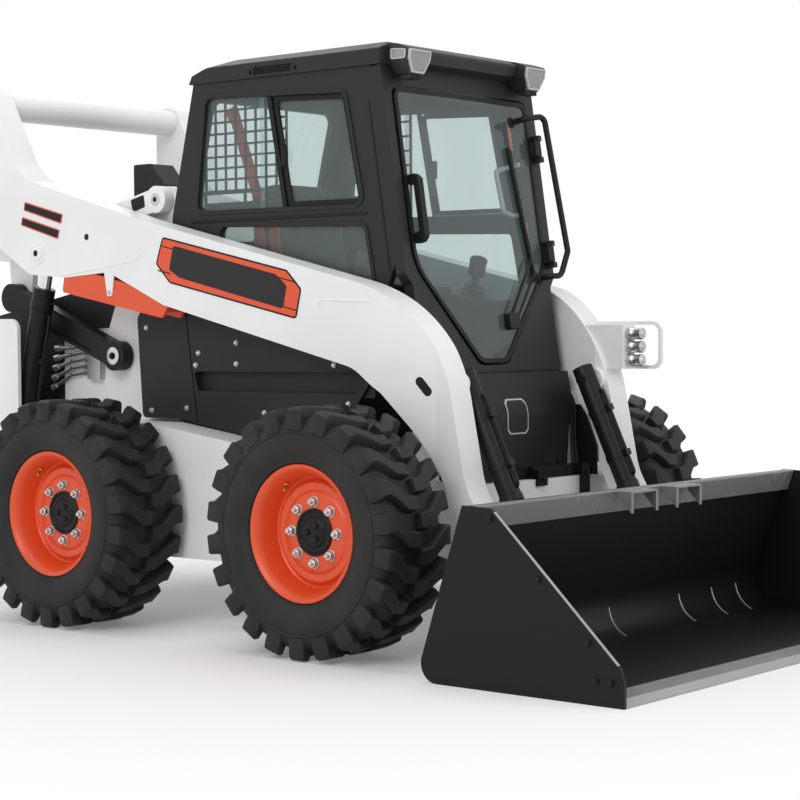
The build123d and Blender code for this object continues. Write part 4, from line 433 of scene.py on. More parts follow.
@dataclass
class Shape:
    """A mesh in the making: points, and blocks of faces with one corner count each."""

    points: Array
    faces: list[Array]

    def __add__(self, other: "Shape") -> "Shape":
        """Puts two shapes in one."""
        shifted = [block + len(self.points) for block in other.faces]
        return Shape(np.concatenate([self.points, other.points]), self.faces + shifted)

    def mirrored(self) -> "Shape":
        """Gives the shape mirrored to the machine's other side."""
        return Shape(self.points * (1.0, -1.0, 1.0), [block[:, ::-1] for block in self.faces])

    def object(self, name: str) -> bpy.types.Object:
        """Makes the Blender object."""
        mesh = bpy.data.meshes.new(name)
        mesh.from_pydata(self.points.tolist(), [], [face for block in self.faces for face in block.tolist()])
        made = bpy.data.objects.new(name, mesh)
        bpy.context.scene.collection.objects.link(made)
        return made


def joined(shapes: Iterable[Shape]) -> Shape:
    """Puts any number of shapes in one."""
    first, *rest = shapes
    for shape in rest:
        first = first + shape
    return first


def sheet(points: Array, loop_rows: bool = False, loop_columns: bool = False) -> Shape:
    """Joins a grid of points with quads.

    Args:
        points: An array of rows x columns x 3.
        loop_rows: Whether the last row joins the first.
        loop_columns: Whether the last column joins the first.

    Returns:
        The grid as a shape, facing the side from which columns x rows turn left.
    """
    index = np.arange(points.shape[0] * points.shape[1]).reshape(points.shape[:2])
    if loop_rows:
        index = np.vstack([index, index[:1]])
    if loop_columns:
        index = np.hstack([index, index[:, :1]])
    quads = np.stack([index[:-1, :-1], index[:-1, 1:], index[1:, 1:], index[1:, :-1]], axis=-1)
    return Shape(points.reshape(-1, 3), [quads.reshape(-1, 4)])


def capped(points: Array) -> Shape:
    """Joins rings of points into a closed form with a flat face at each end."""
    shape = sheet(points, loop_columns=True)
    ring = np.arange(points.shape[1])
    last = (points.shape[0] - 1) * points.shape[1] + ring
    return Shape(shape.points, shape.faces + [ring[None, ::-1], last[None]])


def across(axis: Array) -> tuple[Array, Array, Array]:
    """Gives two directions square to an axis, and the axis itself, all of length 1."""
    along = np.asarray(axis, float) / np.linalg.norm(axis)
    spare = np.eye(3)[np.argmin(np.abs(along))]
    first = np.cross(along, spare)
    first = first / np.linalg.norm(first)
    return first, np.cross(along, first), along


def turned(profile: Outline, foot: Spot, axis: Spot, sides: int = 40, ring: bool = False) -> Shape:
    """Turns (radius, distance along the axis) points about an axis.

    Args:
        profile: The points, in order along the axis on the outside.
        foot: The point of the axis from which distances count.
        axis: The axis' direction.
        sides: Steps round the axis.
        ring: Whether the last point joins the first; otherwise both ends are closed flat.

    Returns:
        The turned form.
    """
    first, second, along = across(np.array(axis))
    turns = np.linspace(0, 2 * math.pi, sides, endpoint=False)[:, None]
    spokes = np.cos(turns) * first + np.sin(turns) * second
    radius, distance = np.array(profile, float).T
    points = np.array(foot) + radius[:, None, None] * spokes[None] + (distance[:, None] * along)[:, None]
    return sheet(points, loop_rows=True, loop_columns=True) if ring else capped(points)


def bent(corners: Sequence[Spot], radius: float, steps: int = 7) -> Array:
    """Rounds the inner corners of a path with arcs of one radius.

    Args:
        corners: The path's corners.
        radius: The bend radius.
        steps: Points on each arc.

    Returns:
        The rounded path's points.
    """
    spots = np.array(corners, float)
    legs = np.diff(spots, axis=0)
    legs = legs / np.linalg.norm(legs, axis=1, keepdims=True)
    coming, going, middle = legs[:-1], legs[1:], spots[1:-1]
    half = np.arccos(np.clip(np.sum(coming * going, axis=1), -1, 1)) / 2
    start = middle - coming * (radius * np.tan(half))[:, None]
    inward = going - coming
    inward = inward / np.linalg.norm(inward, axis=1, keepdims=True)
    centre = middle + inward * (radius / np.cos(half))[:, None]
    toward = (centre - start) / radius
    turn = half[:, None, None] * 2 * np.linspace(0, 1, steps)[None, :, None]
    arcs = centre[:, None] - radius * (np.cos(turn) * toward[:, None] - np.sin(turn) * coming[:, None])
    return np.concatenate([spots[:1], arcs.reshape(-1, 3), spots[-1:]])


def tube(path: Array, radius: float, level: Spot, sides: int = 14) -> Shape:
    """Sweeps a circle along a path.

    Args:
        path: The points of the middle line.
        radius: The circle's radius.
        level: A direction that the path is never parallel to; it fixes the circle's turn.
        sides: Steps round the circle.

    Returns:
        The closed tube.
    """
    ahead = np.gradient(path, axis=0)
    ahead = ahead / np.linalg.norm(ahead, axis=1, keepdims=True)
    aside = np.cross(np.array(level, float), ahead)
    aside = aside / np.linalg.norm(aside, axis=1, keepdims=True)
    upward = np.cross(ahead, aside)
    turns = np.linspace(0, 2 * math.pi, sides, endpoint=False)[None, :, None]
    return capped(path[:, None] + radius * (np.cos(turns) * aside[:, None] + np.sin(turns) * upward[:, None]))


@dataclass(frozen=True)
class Bench:
    """A flat place in the frame to draw on: a point and the directions of its two axes."""

    origin: Spot
    right: Spot
    up: Spot

    def at(self, right: Any, up: Any, out: Any) -> Array:
        """Gives points by their distances right, up and out of the bench."""
        basis = np.array([self.right, self.up, np.cross(self.right, self.up)], float)
        spots = np.stack(np.broadcast_arrays(right, up, out), axis=-1)
        return np.array(self.origin) + spots @ basis

    def prism(self, outline: Outline, low: float, high: float) -> Shape:
        """Raises an outline between two distances out of the bench.

        Args:
            outline: The corners, as distances right and up.
            low: Where the form starts.
            high: Where it ends.

        Returns:
            The closed form.
        """
        right, up = np.array(outline, float).T
        if np.sum(right * np.roll(up, -1) - up * np.roll(right, -1)) < 0:
            right, up = right[::-1], up[::-1]
        return capped(np.stack([self.at(right, up, low), self.at(right, up, high)]))

    def slab(self, right: tuple[float, float], up: tuple[float, float], out: tuple[float, float]) -> Shape:
        """Raises a rectangle between two distances out of the bench."""
        corners = [(right[0], up[0]), (right[1], up[0]), (right[1], up[1]), (right[0], up[1])]
        return self.prism(corners, *out)


GROUND = Bench((0, 0, 0), FORWARD, LEFT)
BEAM = Bench((0, 0, 0), FORWARD, UP)


def rounded(outline: Outline, radius: float, steps: int = 6) -> Outline:
    """Rounds every corner of a closed flat outline."""
    flat = [(right, up, 0.0) for right, up in outline]
    start = tuple((a + b) / 2 for a, b in zip(flat[-1], flat[0]))
    path = bent([start, *flat, start], radius, steps)[1:-1]
    return [(right, up) for right, up, _ in path.tolist()]


def piece(name: str, shape: Shape, finish: Finish, body: str = "chassis", bevel: float = 0.0,
          smooth: float = 40.0) -> bpy.types.Object:
    """Adds a finished piece of the machine.

    Args:
        name: Its name.
        shape: Its form.
        finish: Its finish.
        body: The body that it moves with.
        bevel: Width of the softened edges, in metres.
        smooth: Edges bent by more than this many degrees stay crisp.

    Returns:
        The Blender object.
    """
    made = shape.object(name)
    made.data.polygons.foreach_set("use_smooth", np.ones(len(made.data.polygons), bool))
    made.data.set_sharp_from_angle(angle=math.radians(smooth))
    made.data.materials.append(material_of(finish))
    if bevel:
        soften = made.modifiers.new("soft_edges", "BEVEL")
        soften.width = bevel
        soften.segments = 2
        soften.limit_method = "ANGLE"
        soften.angle_limit = math.radians(30)
    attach(made, body)
    LOG.info("piece %s: %d faces on %s", name, len(made.data.polygons), body)
    return made


# Wheels


@dataclass
class Wheel:
    """One wheel: lug tyre and rolled rim over their plain solids, nuts, hub cap and valve."""

    axle: Axle
    side: Side
    radius: float = 0.4155
    mid_y: float = 0.770
    face_y: float = 0.827
    lugs: int = 22
    bolt_circle: float = 0.1016
    nuts: int = 8
    hub_radius: float = 0.076
    hub_height: float = 0.0155
    pads: int = 3
    pad_circle: float = 0.026
    valve_circle: float = 0.1915
    steps: int = 120

    def __post_init__(self) -> None:
        """Works out the names and the axle's place from the frame."""
        hand = "left" if self.side is Side.LEFT else "right"
        self.name = f"{self.axle.value}_{hand}"
        self.body = f"wheel_{self.name}"
        low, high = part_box(f"rim_{self.name}")
        self.centre = np.array([(low[0] + high[0]) / 2, self.side.value * self.mid_y, (low[2] + high[2]) / 2])

    def build(self) -> None:
        """Adds the wheel's pieces."""
        made = piece(f"tyre_{self.name}_tread", self.carcass() + self.tread(), TYRE, self.body, smooth=32.0)
        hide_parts(f"tyre_{self.name}")
        rolled = piece(f"rim_{self.name}_rolled", self.rim(), ORANGE, self.body, smooth=30.0)
        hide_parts(f"rim_{self.name}")
        piece(f"nuts_{self.name}", self.nut_ring(), STEEL, self.body, bevel=0.0012)
        piece(f"hub_cap_{self.name}", self.hub_cap(), BLACK, self.body)
        piece(f"valve_{self.name}", self.valve(), BRASS, self.body)

    def round_axle(self, radius: Any, angle: Any, reach: Any) -> Array:
        """Gives points by radius, angle forward of the top and distance outward of the tyre's middle."""
        x = self.centre[0] + radius * np.sin(angle)
        z = self.centre[2] + radius * np.cos(angle)
        return np.stack(np.broadcast_arrays(x, self.centre[1] + self.side.value * reach, z), axis=-1)

    def carcass(self) -> Shape:
        """Turns the casing: beads, bulged walls, shoulders and the floor between the lugs."""
        wall = [(0.2105, 0.1095), (0.2285, 0.1175), (0.2310, 0.1260), (0.2350, 0.1305), (0.2400, 0.1300),
                (0.2425, 0.1310), (0.2540, 0.1385), (0.2760, 0.1480), (0.3000, 0.1522), (0.3200, 0.1520),
                (0.3285, 0.1500), (0.3310, 0.1530), (0.3345, 0.1530), (0.3370, 0.1495), (0.3560, 0.1430),
                (0.3730, 0.1320), (0.3830, 0.1150), (0.3870, 0.0800), (0.3885, 0.0400)]
        profile = [(r, y) for r, y in reversed(wall)] + [(0.2095, 0.100), (0.2095, -0.100)]
        profile += [(r, -y) for r, y in wall]
        return turned(profile[::-1], self.centre, LEFT, self.steps, ring=True)

    def tread(self) -> Shape:
        """Makes the lugs.

        Each lug runs from the wall's ring over the shoulder, straight across, then in a jog to just past
        the middle. Its cross section is a drafted block with rounded top edges. The two sides are set half
        a pitch apart.

        Returns:
            All lugs of the tyre.
        """
        reach = np.array([0.1522, 0.1530, 0.1535, 0.1515, 0.1400, 0.1200, 0.0900, 0.0550, 0.0200, 0.0020])
        top = np.array([0.3420, 0.3600, 0.3840, 0.4060, 0.4135, 0.4155, 0.4155, 0.4155, 0.4155, 0.4140])
        floor = np.array([0.3340, 0.3500, 0.3660, 0.3730, 0.3790, 0.3830, 0.3850, 0.3860, 0.3860, 0.3860])
        inset = np.array([0.008, 0.012, 0.018, 0.018, 0.012, 0.0, 0.0, 0.0, 0.0, 0.0])
        half = np.array([0.0330, 0.0345, 0.0345, 0.0335, 0.0315, 0.0290, 0.0275, 0.0260, 0.0255, 0.0235])
        jog = np.clip((0.125 - reach) / 0.085, 0, 1)
        lead = 0.062 * jog * jog * (3 - 2 * jog)
        spread = np.array([-1.20, -1.02, -0.86, 0.86, 1.02, 1.20])
        rise = np.array([0.0, 0.84, 1.0, 1.0, 0.84, 0.0])
        radius = floor[:, None] + (top - floor)[:, None] * rise
        angle = (lead[:, None] + half[:, None] * spread) / self.radius
        outward = reach[:, None] - inset[:, None] * (1 - rise)
        pitch = 2 * math.pi / self.lugs
        lugs = []
        for hand, phase in ((1.0, 0.0), (-1.0, 0.5)):
            starts = (np.arange(self.lugs) + phase)[:, None, None] * pitch
            rings = self.round_axle(radius, starts + angle, hand * outward)
            flip = hand * self.side.value > 0
            lugs += [capped(ring if flip else ring[:, ::-1]) for ring in rings]
        return joined(lugs)

    def rim(self) -> Shape:
        """Turns the rim: rolled lips, dished barrel, drop centre, disc with its pressed ring, and hub."""
        front = [(0.0700, 0.0570), (0.1260, 0.0570), (0.1330, 0.0545), (0.1400, 0.0490), (0.1480, 0.0490),
                 (0.1560, 0.0520), (0.1630, 0.0510), (0.1690, 0.0460), (0.1745, 0.0380), (0.1800, 0.0360),
                 (0.1850, 0.0400), (0.1880, 0.0520), (0.1910, 0.0700), (0.1945, 0.0850), (0.1985, 0.0980),
                 (0.2035, 0.1090), (0.2100, 0.1185), (0.2160, 0.1245), (0.2220, 0.1273), (0.2265, 0.1265),
                 (0.2280, 0.1235), (0.2270, 0.1195), (0.2090, 0.1105), (0.2085, 0.0560), (0.1880, 0.0260)]
        back = [(0.1880, -0.0260), (0.2085, -0.0560), (0.2090, -0.1105), (0.2280, -0.1200), (0.2280, -0.1260),
                (0.2200, -0.1270), (0.2010, -0.1150), (0.2005, -0.0620), (0.1790, -0.0320), (0.1790, 0.0100),
                (0.1500, 0.0420), (0.0760, 0.0420), (0.0760, -0.0180), (0.0450, -0.0180), (0.0450, 0.0540)]
        course = front + back
        if self.side is Side.RIGHT:
            course = [(radius, -reach) for radius, reach in reversed(course)]
        return turned(course, self.centre, LEFT, self.steps, ring=True)

    def outer(self, height: float) -> float:
        """Gives the Y of a distance out from the wheel's bolt face."""
        return self.side.value * (self.face_y + height)

    def nut_ring(self) -> Shape:
        """Makes the wheel nuts: six-sided, chamfered, each on a washer."""
        turns = np.arange(self.nuts) * 2 * math.pi / self.nuts
        axis = (0, self.side.value, 0)
        washer = [(0.0195, 0), (0.0195, 0.003)]
        nut = [(0.0150, 0.003), (0.0165, 0.0045), (0.0165, 0.016), (0.0140, 0.018)]
        stud = [(0.0078, 0.018), (0.0078, 0.026), (0.0062, 0.0275)]
        forms = ((washer, 24), (nut, 6), (stud, 16))
        shapes = []
        for spot in self.round_axle(self.bolt_circle, turns, self.face_y - self.mid_y):
            shapes += [turned(form, spot, axis, sides) for form, sides in forms]
        return joined(shapes)

    def hub_cap(self) -> Shape:
        """Turns the hub's flush cap: a rolled edge, a sunk ring and three pads on its face."""
        edge = self.hub_radius
        profile = [(edge + 0.0025, -0.012), (edge + 0.0025, 0.005), (edge - 0.001, 0.008),
                   (edge - 0.006, 0.008), (edge - 0.010, 0.003), (edge - 0.024, 0.002),
                   (edge - 0.028, 0.007), (edge - 0.034, 0.009), (0.010, 0.0095)]
        axis = (0, self.side.value, 0)
        shapes = [turned(profile, (self.centre[0], self.outer(0.0), self.centre[2]), axis, 48)]
        turns = np.arange(self.pads) * 2 * math.pi / self.pads + 0.5
        pad = [(0.0105, 0.006), (0.0105, 0.013), (0.0085, self.hub_height)]
        for spot in self.round_axle(self.pad_circle, turns, self.face_y - self.mid_y):
            shapes.append(turned(pad, spot, axis, 20))
        return joined(shapes)

    def valve(self) -> Shape:
        """Makes the valve stem."""
        spot = self.round_axle(self.valve_circle, -0.62, 0.070)
        profile = [(0.0075, -0.006), (0.0075, 0.010), (0.0055, 0.012), (0.0055, 0.034), (0.004, 0.037)]
        return turned(profile, spot, (0.45, 0.9 * self.side.value, -0.62), 14)


# Forms that several groups share


LEAN = math.atan2(0.160, 1.055)
SCREEN = Bench((0.612, 0.0, 0.930), LEFT, (-math.sin(LEAN), 0.0, math.cos(LEAN)))
FRONTAL = Bench((0, 0, 0), LEFT, UP)


def on_screen(y: float, z: float, out: float) -> Array:
    """Gives a point of the leaning cab front by its Y, height and distance out of the glass."""
    return SCREEN.at(y, (z - SCREEN.origin[2]) / math.cos(LEAN), out)


def both(shape: Shape) -> Shape:
    """Gives the shape and its mirror image."""
    return shape + shape.mirrored()


def inset(outline: Outline, distance: float) -> Outline:
    """Moves the sides of a left-turning outline inward by a distance, or outward by a negative one."""
    spots = np.array(outline, float)
    ahead = np.roll(spots, -1, axis=0) - spots
    normal = np.stack([-ahead[:, 1], ahead[:, 0]], axis=1)
    normal = normal / np.linalg.norm(normal, axis=1, keepdims=True)
    before = np.roll(normal, 1, axis=0)
    shift = (before + normal) / (1 + np.sum(before * normal, axis=1, keepdims=True))
    return [(right, up) for right, up in (spots + distance * shift).tolist()]


def surround(bench: Bench, outline: Outline, width: float, low: float, high: float) -> Shape:
    """Makes a closed frame along an outline.

    Args:
        bench: Where the outline is drawn.
        outline: The frame's outer edge, turning left.
        width: The frame's width, inward.
        low: Where the frame starts, out of the bench.
        high: Where it ends.

    Returns:
        The frame.
    """
    outer = np.array(outline, float).T
    inner = np.array(inset(outline, width), float).T
    courses = ((outer, low), (outer, high), (inner, high), (inner, low))
    rings = [bench.at(*edge, level) for edge, level in courses]
    return sheet(np.stack(rings), loop_rows=True, loop_columns=True)


def bolt(spot: Spot, axis: Spot, size: float) -> Shape:
    """Makes a six-sided bolt head on its washer, size being half the head's width."""
    washer = turned([(size * 1.4, 0.0), (size * 1.4, size * 0.25)], spot, axis, 20)
    shares = ((1.0, 0.25), (1.08, 0.4), (1.08, 0.9), (0.85, 1.05))
    return washer + turned([(size * wide, size * tall) for wide, tall in shares], spot, axis, 6)


def lath(start: Spot, end: Spot, side: Spot, width: float, thick: float) -> Shape:
    """Makes a flat bar between two points.

    Args:
        start: The middle of one end.
        end: The middle of the other.
        side: The direction in which the bar is wide.
        width: The size in that direction.
        thick: The size square to it.

    Returns:
        The bar.
    """
    run = np.array(end, float) - np.array(start, float)
    length = float(np.linalg.norm(run))
    ahead = run / length
    flat = np.array(side, float) - ahead * np.dot(side, ahead)
    flat = flat / np.linalg.norm(flat)
    bench = Bench(tuple(start), tuple(ahead), tuple(flat))
    return bench.slab((0.0, length), (-width / 2, width / 2), (-thick / 2, thick / 2))


def curled(value: Array, power: float) -> Array:
    """Raises the size of a signed value to a power."""
    return np.sign(value) * np.abs(value) ** power


def stuffed(bench: Bench, half: Spot, seams: Sequence[float], crown: float) -> Shape:
    """Makes a stuffed cushion: a rounded block, crowned in the middle, with sewn grooves.

    Args:
        bench: A bench in the block's middle, facing out of its top.
        half: Half its size right, up and out.
        seams: Where the grooves run, as distances right.
        crown: How far the middle of the top rises.

    Returns:
        The cushion.
    """
    tilt = np.linspace(-0.49 * math.pi, 0.49 * math.pi, 44)[:, None]
    turn = np.linspace(-math.pi, math.pi, 112, endpoint=False)[None]
    ring = curled(np.cos(tilt), 0.35)
    right = half[0] * ring * curled(np.cos(turn), 0.32)
    up = half[1] * ring * curled(np.sin(turn), 0.32)
    out = half[2] * curled(np.sin(tilt), 0.5) + 0.0 * right
    top = np.clip(out / half[2], 0.0, 1.0)
    rise = (1 - (right / half[0]) ** 2) * (1 - (up / half[1]) ** 2)
    groove = np.sum([np.exp(-(((right - seam) / 0.007) ** 2)) for seam in seams], axis=0)
    return capped(bench.at(right, up, out + top * (crown * rise - 0.008 * groove)))


# Cab


@dataclass
class Cab:
    """Window frames, guard, lamps, seat, belts and sticks."""

    half: float = 0.428
    upper: Outline = ((-0.450, 1.514), (0.372, 1.508), (0.290, 1.905), (-0.395, 1.935))
    lower: Outline = (
        (-0.330, 1.180), (0.380, 1.180), (0.418, 1.250), (0.380, 1.440), (-0.330, 1.462))
    front_sash: Outline = ((0.004, 1.5105), (0.372, 1.508), (0.290, 1.905), (-0.074, 1.921))
    post: Outline = ((-0.002, 1.5125), (-0.080, 1.9215))
    guard_x: tuple[float, float] = (-0.430, -0.020)
    guard_z: tuple[float, float] = (1.590, 1.925)
    guard_bars: int = 9
    bar_half: float = 0.004
    lamp_face: Outline = (
        (-0.031, 0.007), (0.031, 0.007), (0.057, 0.054), (0.057, 0.087), (-0.057, 0.087), (-0.057, 0.054))
    lamp_cheek: Outline = ((0.474, 2.000), (0.537, 2.000), (0.542, 2.032), (0.474, 2.038))
    belt_y: float = -0.236
    buckle_z: float = 1.120
    stick_foot: Spot = (0.255, 0.320, 1.194)
    stick_axis: Spot = (0.035, 0.0, 0.146)

    def build(self) -> None:
        """Adds the cab's pieces."""
        piece("window_seals", both(self.seals()), SEAL)
        piece("window_sashes", both(self.sashes()), BLACK, bevel=0.0015)
        piece("window_guard_right", self.guard(), BLACK)
        piece("roof_fittings", both(self.roof_fittings()), BLACK)
        self.lamps()
        self.seat()
        piece("seat_belts", self.belts(), BELT)
        piece("stick_boots", both(self.boots()), BLACK_PLASTIC, smooth=75.0)
        piece("arm_rests", both(self.arm_rests()), BLACK_PLASTIC, bevel=0.006)

    def seals(self) -> Shape:
        """Makes the rubber round the window openings of the right wall."""
        rings, wall = [], self.half
        for outline, corner in ((self.upper, 0.034), (self.lower, 0.030)):
            opening = rounded(outline, corner)
            rings.append(surround(BEAM, inset(opening, -0.010), 0.0150, wall + 0.0001, wall + 0.004))
            rings.append(surround(BEAM, opening, 0.0055, wall - 0.0135, wall + 0.001))
        return joined(rings)

    def sashes(self) -> Shape:
        """Makes the sliding pane's frame, the leaning post beside it, its latch and the middle rail."""
        front = surround(BEAM, rounded(inset(self.front_sash, 0.0060), 0.026), 0.019, 0.4072, 0.4185)
        low, high = ((x, -0.4195, z) for x, z in self.post)
        post = lath(low, high, FORWARD, 0.020, 0.011)
        latch = BEAM.slab((-0.020, 0.004), (1.660, 1.730), (0.4180, 0.4270))
        rail = BEAM.slab((-0.470, 0.392), (1.474, 1.486), (self.half, self.half + 0.003))
        return joined([front, post, latch, rail])

    def guard(self) -> Shape:
        """Makes the bar grid inside the rear pane of the right window."""
        columns, rows = (np.linspace(*span, self.guard_bars) for span in (self.guard_x, self.guard_z))
        half, depth = self.bar_half, (0.3919, 0.3975)
        bars = [BEAM.slab((x - half, x + half), self.guard_z, (0.3917, 0.3977)) for x in columns]
        bars += [BEAM.slab(self.guard_x, (z - half, z + half), (0.3921, 0.3973)) for z in rows]
        bars += [BEAM.slab((-0.440, -0.020), span, depth) for span in ((1.500, 1.548), (1.578, 1.590))]
        bars += [BEAM.slab((x - 0.006, x + 0.006), (1.548, 1.578), depth) for x in (-0.434, -0.230, -0.026)]
        return joined(bars)

    def roof_fittings(self) -> Shape:
        """Makes the slats of the roof's side vent, its bolts and the pillar's seam."""
        slats = [BEAM.slab((-0.140, 0.040), (z, z + 0.003), (0.4275, 0.4345)) for z in (1.999, 2.006, 2.013)]
        bolts = [bolt((x, -0.436, 2.006), RIGHT, 0.006) for x in (-0.160, 0.060)]
        seam = lath((0.400, -0.4285, 1.862), (0.492, -0.4285, 1.270), FORWARD, 0.007, 0.002)
        return joined(slats + bolts + [seam])

    def lamps(self) -> None:
        """Adds lenses, bezels and cooling fins to the two work lamps."""
        face = Bench((0.534, 0.332, 1.948), LEFT, (0.1537, 0.0, 0.9881))
        outline, cheek = rounded(self.lamp_face, 0.008), rounded(self.lamp_cheek, 0.007)
        lens = face.prism(inset(outline, 0.005), -0.002, 0.0045) + BEAM.prism(cheek, 0.392, 0.3965).mirrored()
        ribs = [face.slab((y - 0.0012, y + 0.0012), (0.018, 0.080), (0.0035, 0.0058))
                for y in np.linspace(-0.024, 0.024, 5)]
        piece("lamp_lenses", both(joined([lens, *ribs])), LAMP_LENS, bevel=0.001)
        rims = surround(face, outline, 0.006, -0.002, 0.008)
        rims = rims + surround(BEAM, cheek, 0.004, 0.393, 0.3985).mirrored()
        piece("lamp_bezels", both(rims), PALE_GREY)
        fins = [GROUND.slab((0.488, 0.530), (y - 0.002, y + 0.002), (1.936, 1.9495))
                for y in np.linspace(0.302, 0.362, 7)]
        piece("lamp_fins", both(joined(fins)), BLACK_PLASTIC)

    def seat(self) -> None:
        """Adds the two cushions in place of the plain seat, and the tray under them."""
        flat = Bench((-0.105, 0.0, 1.091), RIGHT, FORWARD)
        lean = math.radians(7.3)
        upright = Bench((-0.310, 0.0, 1.362), LEFT, (-math.sin(lean), 0.0, math.cos(lean)))
        cushion = stuffed(flat, (0.226, 0.222, 0.064), (-0.125, 0.125), 0.014)
        back = stuffed(upright, (0.210, 0.268, 0.046), (-0.115, 0.115), 0.014)
        made = piece("seat_cushions", cushion + back, SEAT_CLOTH, smooth=60.0)
        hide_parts("seat")
        tray = GROUND.slab((-0.300, 0.080), (-0.190, 0.190), (1.0122, 1.046))
        spine = lath((-0.292, 0.0, 1.040), (-0.345, 0.0, 1.330), LEFT, 0.30, 0.030)
        piece("seat_tray", tray + spine, BLACK_PLASTIC, bevel=0.004)

    def belts(self) -> Shape:
        """Makes the belt: from the wall down beside the backrest to its buckle, and its second strap."""
        y, z = self.belt_y, self.buckle_z
        top, shoulder, foot = (-0.437, y, 1.880), (-0.322, y, 1.580), (-0.300, y, z)
        front, end = (-0.240, y, 1.460), (-0.205, y, z)
        runs = ((top, shoulder), (shoulder, foot), (shoulder, front), (front, end))
        straps = [lath(start, stop, FORWARD, 0.050, 0.004) for start, stop in runs]
        anchor = lath((-0.455, y, 1.912), (-0.437, y, 1.868), FORWARD, 0.050, 0.016)
        buckle = lath((-0.310, y, z), (-0.195, y, z), UP, 0.060, 0.018)
        return joined([*straps, anchor, buckle])

    def boots(self) -> Shape:
        """Turns the left stick's folded boot and its shaped grip."""
        folds = [(0.050, 0.0), (0.050, 0.006), (0.041, 0.012), (0.047, 0.020), (0.036, 0.028), (0.042, 0.036),
                 (0.031, 0.044), (0.035, 0.052), (0.022, 0.060), (0.0165, 0.066)]
        grip = [(0.018, 0.082), (0.0262, 0.088), (0.0285, 0.108), (0.0258, 0.126), (0.0290, 0.146),
                (0.0240, 0.158), (0.0100, 0.163)]
        wide, thick = ([(radius * 1.2, along) for radius, along in form] for form in (folds, grip))
        return joined([turned(form, self.stick_foot, self.stick_axis, 28) for form in (wide, thick)])

    def arm_rests(self) -> Shape:
        """Makes the pad on one console."""
        outline = [(-0.270, 1.2404), (0.120, 1.2170), (0.120, 1.2400), (-0.270, 1.2640)]
        return BEAM.prism(outline, 0.272, 0.366)


@dataclass
class Door:
    """Guard tube, handle, wiper and grab loop of the front door."""

    tube_radius: float = 0.011
    tube_bend: float = 0.026
    tube_spots: Sequence[Spot] = (
        (0.278, 1.834, 0.0003), (0.278, 1.834, 0.072), (0.362, 1.845, 0.092), (0.405, 1.349, 0.092),
        (0.385, 1.262, 0.062), (0.331, 1.262, 0.062), (0.331, 1.262, 0.0063))
    grab_spots: Sequence[Spot] = (
        (0.306, 1.683, -0.0062), (0.300, 1.682, -0.046), (0.212, 1.662, -0.046), (0.228, 1.515, -0.046),
        (0.288, 1.498, -0.046), (0.290, 1.498, -0.0062))
    twist: Spot = (0.839, 1.0, 1.139)

    def build(self) -> None:
        """Adds the door's pieces."""
        hardware = self.guard_tube() + self.handle() + self.wiper()
        made = piece("door_hardware", hardware, BLACK, "door", bevel=0.0012)
        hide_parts("door_fittings")
        grab = tube(bent([on_screen(*spot) for spot in self.grab_spots], 0.018), 0.009, self.twist)
        piece("door_grab", grab, PALE_GREY, "door")
        piece("door_strips", self.strips(), ORANGE, "door")

    def guard_tube(self) -> Shape:
        """Bends the tube that guards the hinge side, with a foot plate at each end."""
        path = bent([on_screen(*spot) for spot in self.tube_spots], self.tube_bend, 9)
        outward = np.cross(SCREEN.right, SCREEN.up)
        foot = [(0.020, 0.0), (0.020, 0.004), (0.014, 0.009)]
        feet = [turned(foot, on_screen(*self.tube_spots[end]), outward, 24) for end in (0, -1)]
        return joined([tube(path, self.tube_radius, self.twist, 18), *feet])

    def handle(self) -> Shape:
        """Makes the pull handle as one bow."""
        outward = np.cross(SCREEN.right, SCREEN.up)
        bench = Bench(tuple(on_screen(-0.345, 1.372, 0.0)), SCREEN.up, tuple(outward))
        bow = [(0.0, 0.0003), (0.034, 0.0003), (0.040, 0.024), (0.198, 0.024), (0.204, 0.0003),
               (0.238, 0.0003), (0.238, 0.030), (0.220, 0.048), (0.018, 0.048), (0.0, 0.030)]
        return bench.prism(bow, -0.013, 0.013)

    def wiper(self) -> Shape:
        """Makes the wiper: motor cover, two arms and the blade with its spine."""
        top, low, side = (0.226, 1.737), (0.290, 1.250), LEFT
        blade = lath(on_screen(*top, 0.0065), on_screen(*low, 0.0065), side, 0.006, 0.012)
        spine = lath(on_screen(*top, 0.0145), on_screen(*low, 0.0145), side, 0.014, 0.005)
        first = lath(on_screen(0.104, 1.112, 0.020), on_screen(0.272, 1.330, 0.020), side, 0.009, 0.007)
        second = lath(on_screen(0.134, 1.098, 0.020), on_screen(0.285, 1.285, 0.020), side, 0.009, 0.007)
        cover = rounded([(0.088, 0.147), (0.150, 0.147), (0.150, 0.205), (0.088, 0.205)], 0.012)
        return joined([blade, spine, first, second, SCREEN.prism(cover, 0.0003, 0.027)])

    def strips(self) -> Shape:
        """Makes the two bright strips inside the glass."""
        strips = []
        for y, low, high in ((0.271, 1.733, 1.841), (0.301, 1.362, 1.469)):
            ends = (on_screen(y, z, -0.0080) for z in (low, high))
            strips.append(lath(*ends, LEFT, 0.016, 0.003))
        return joined(strips)


# Arms, links and cylinders


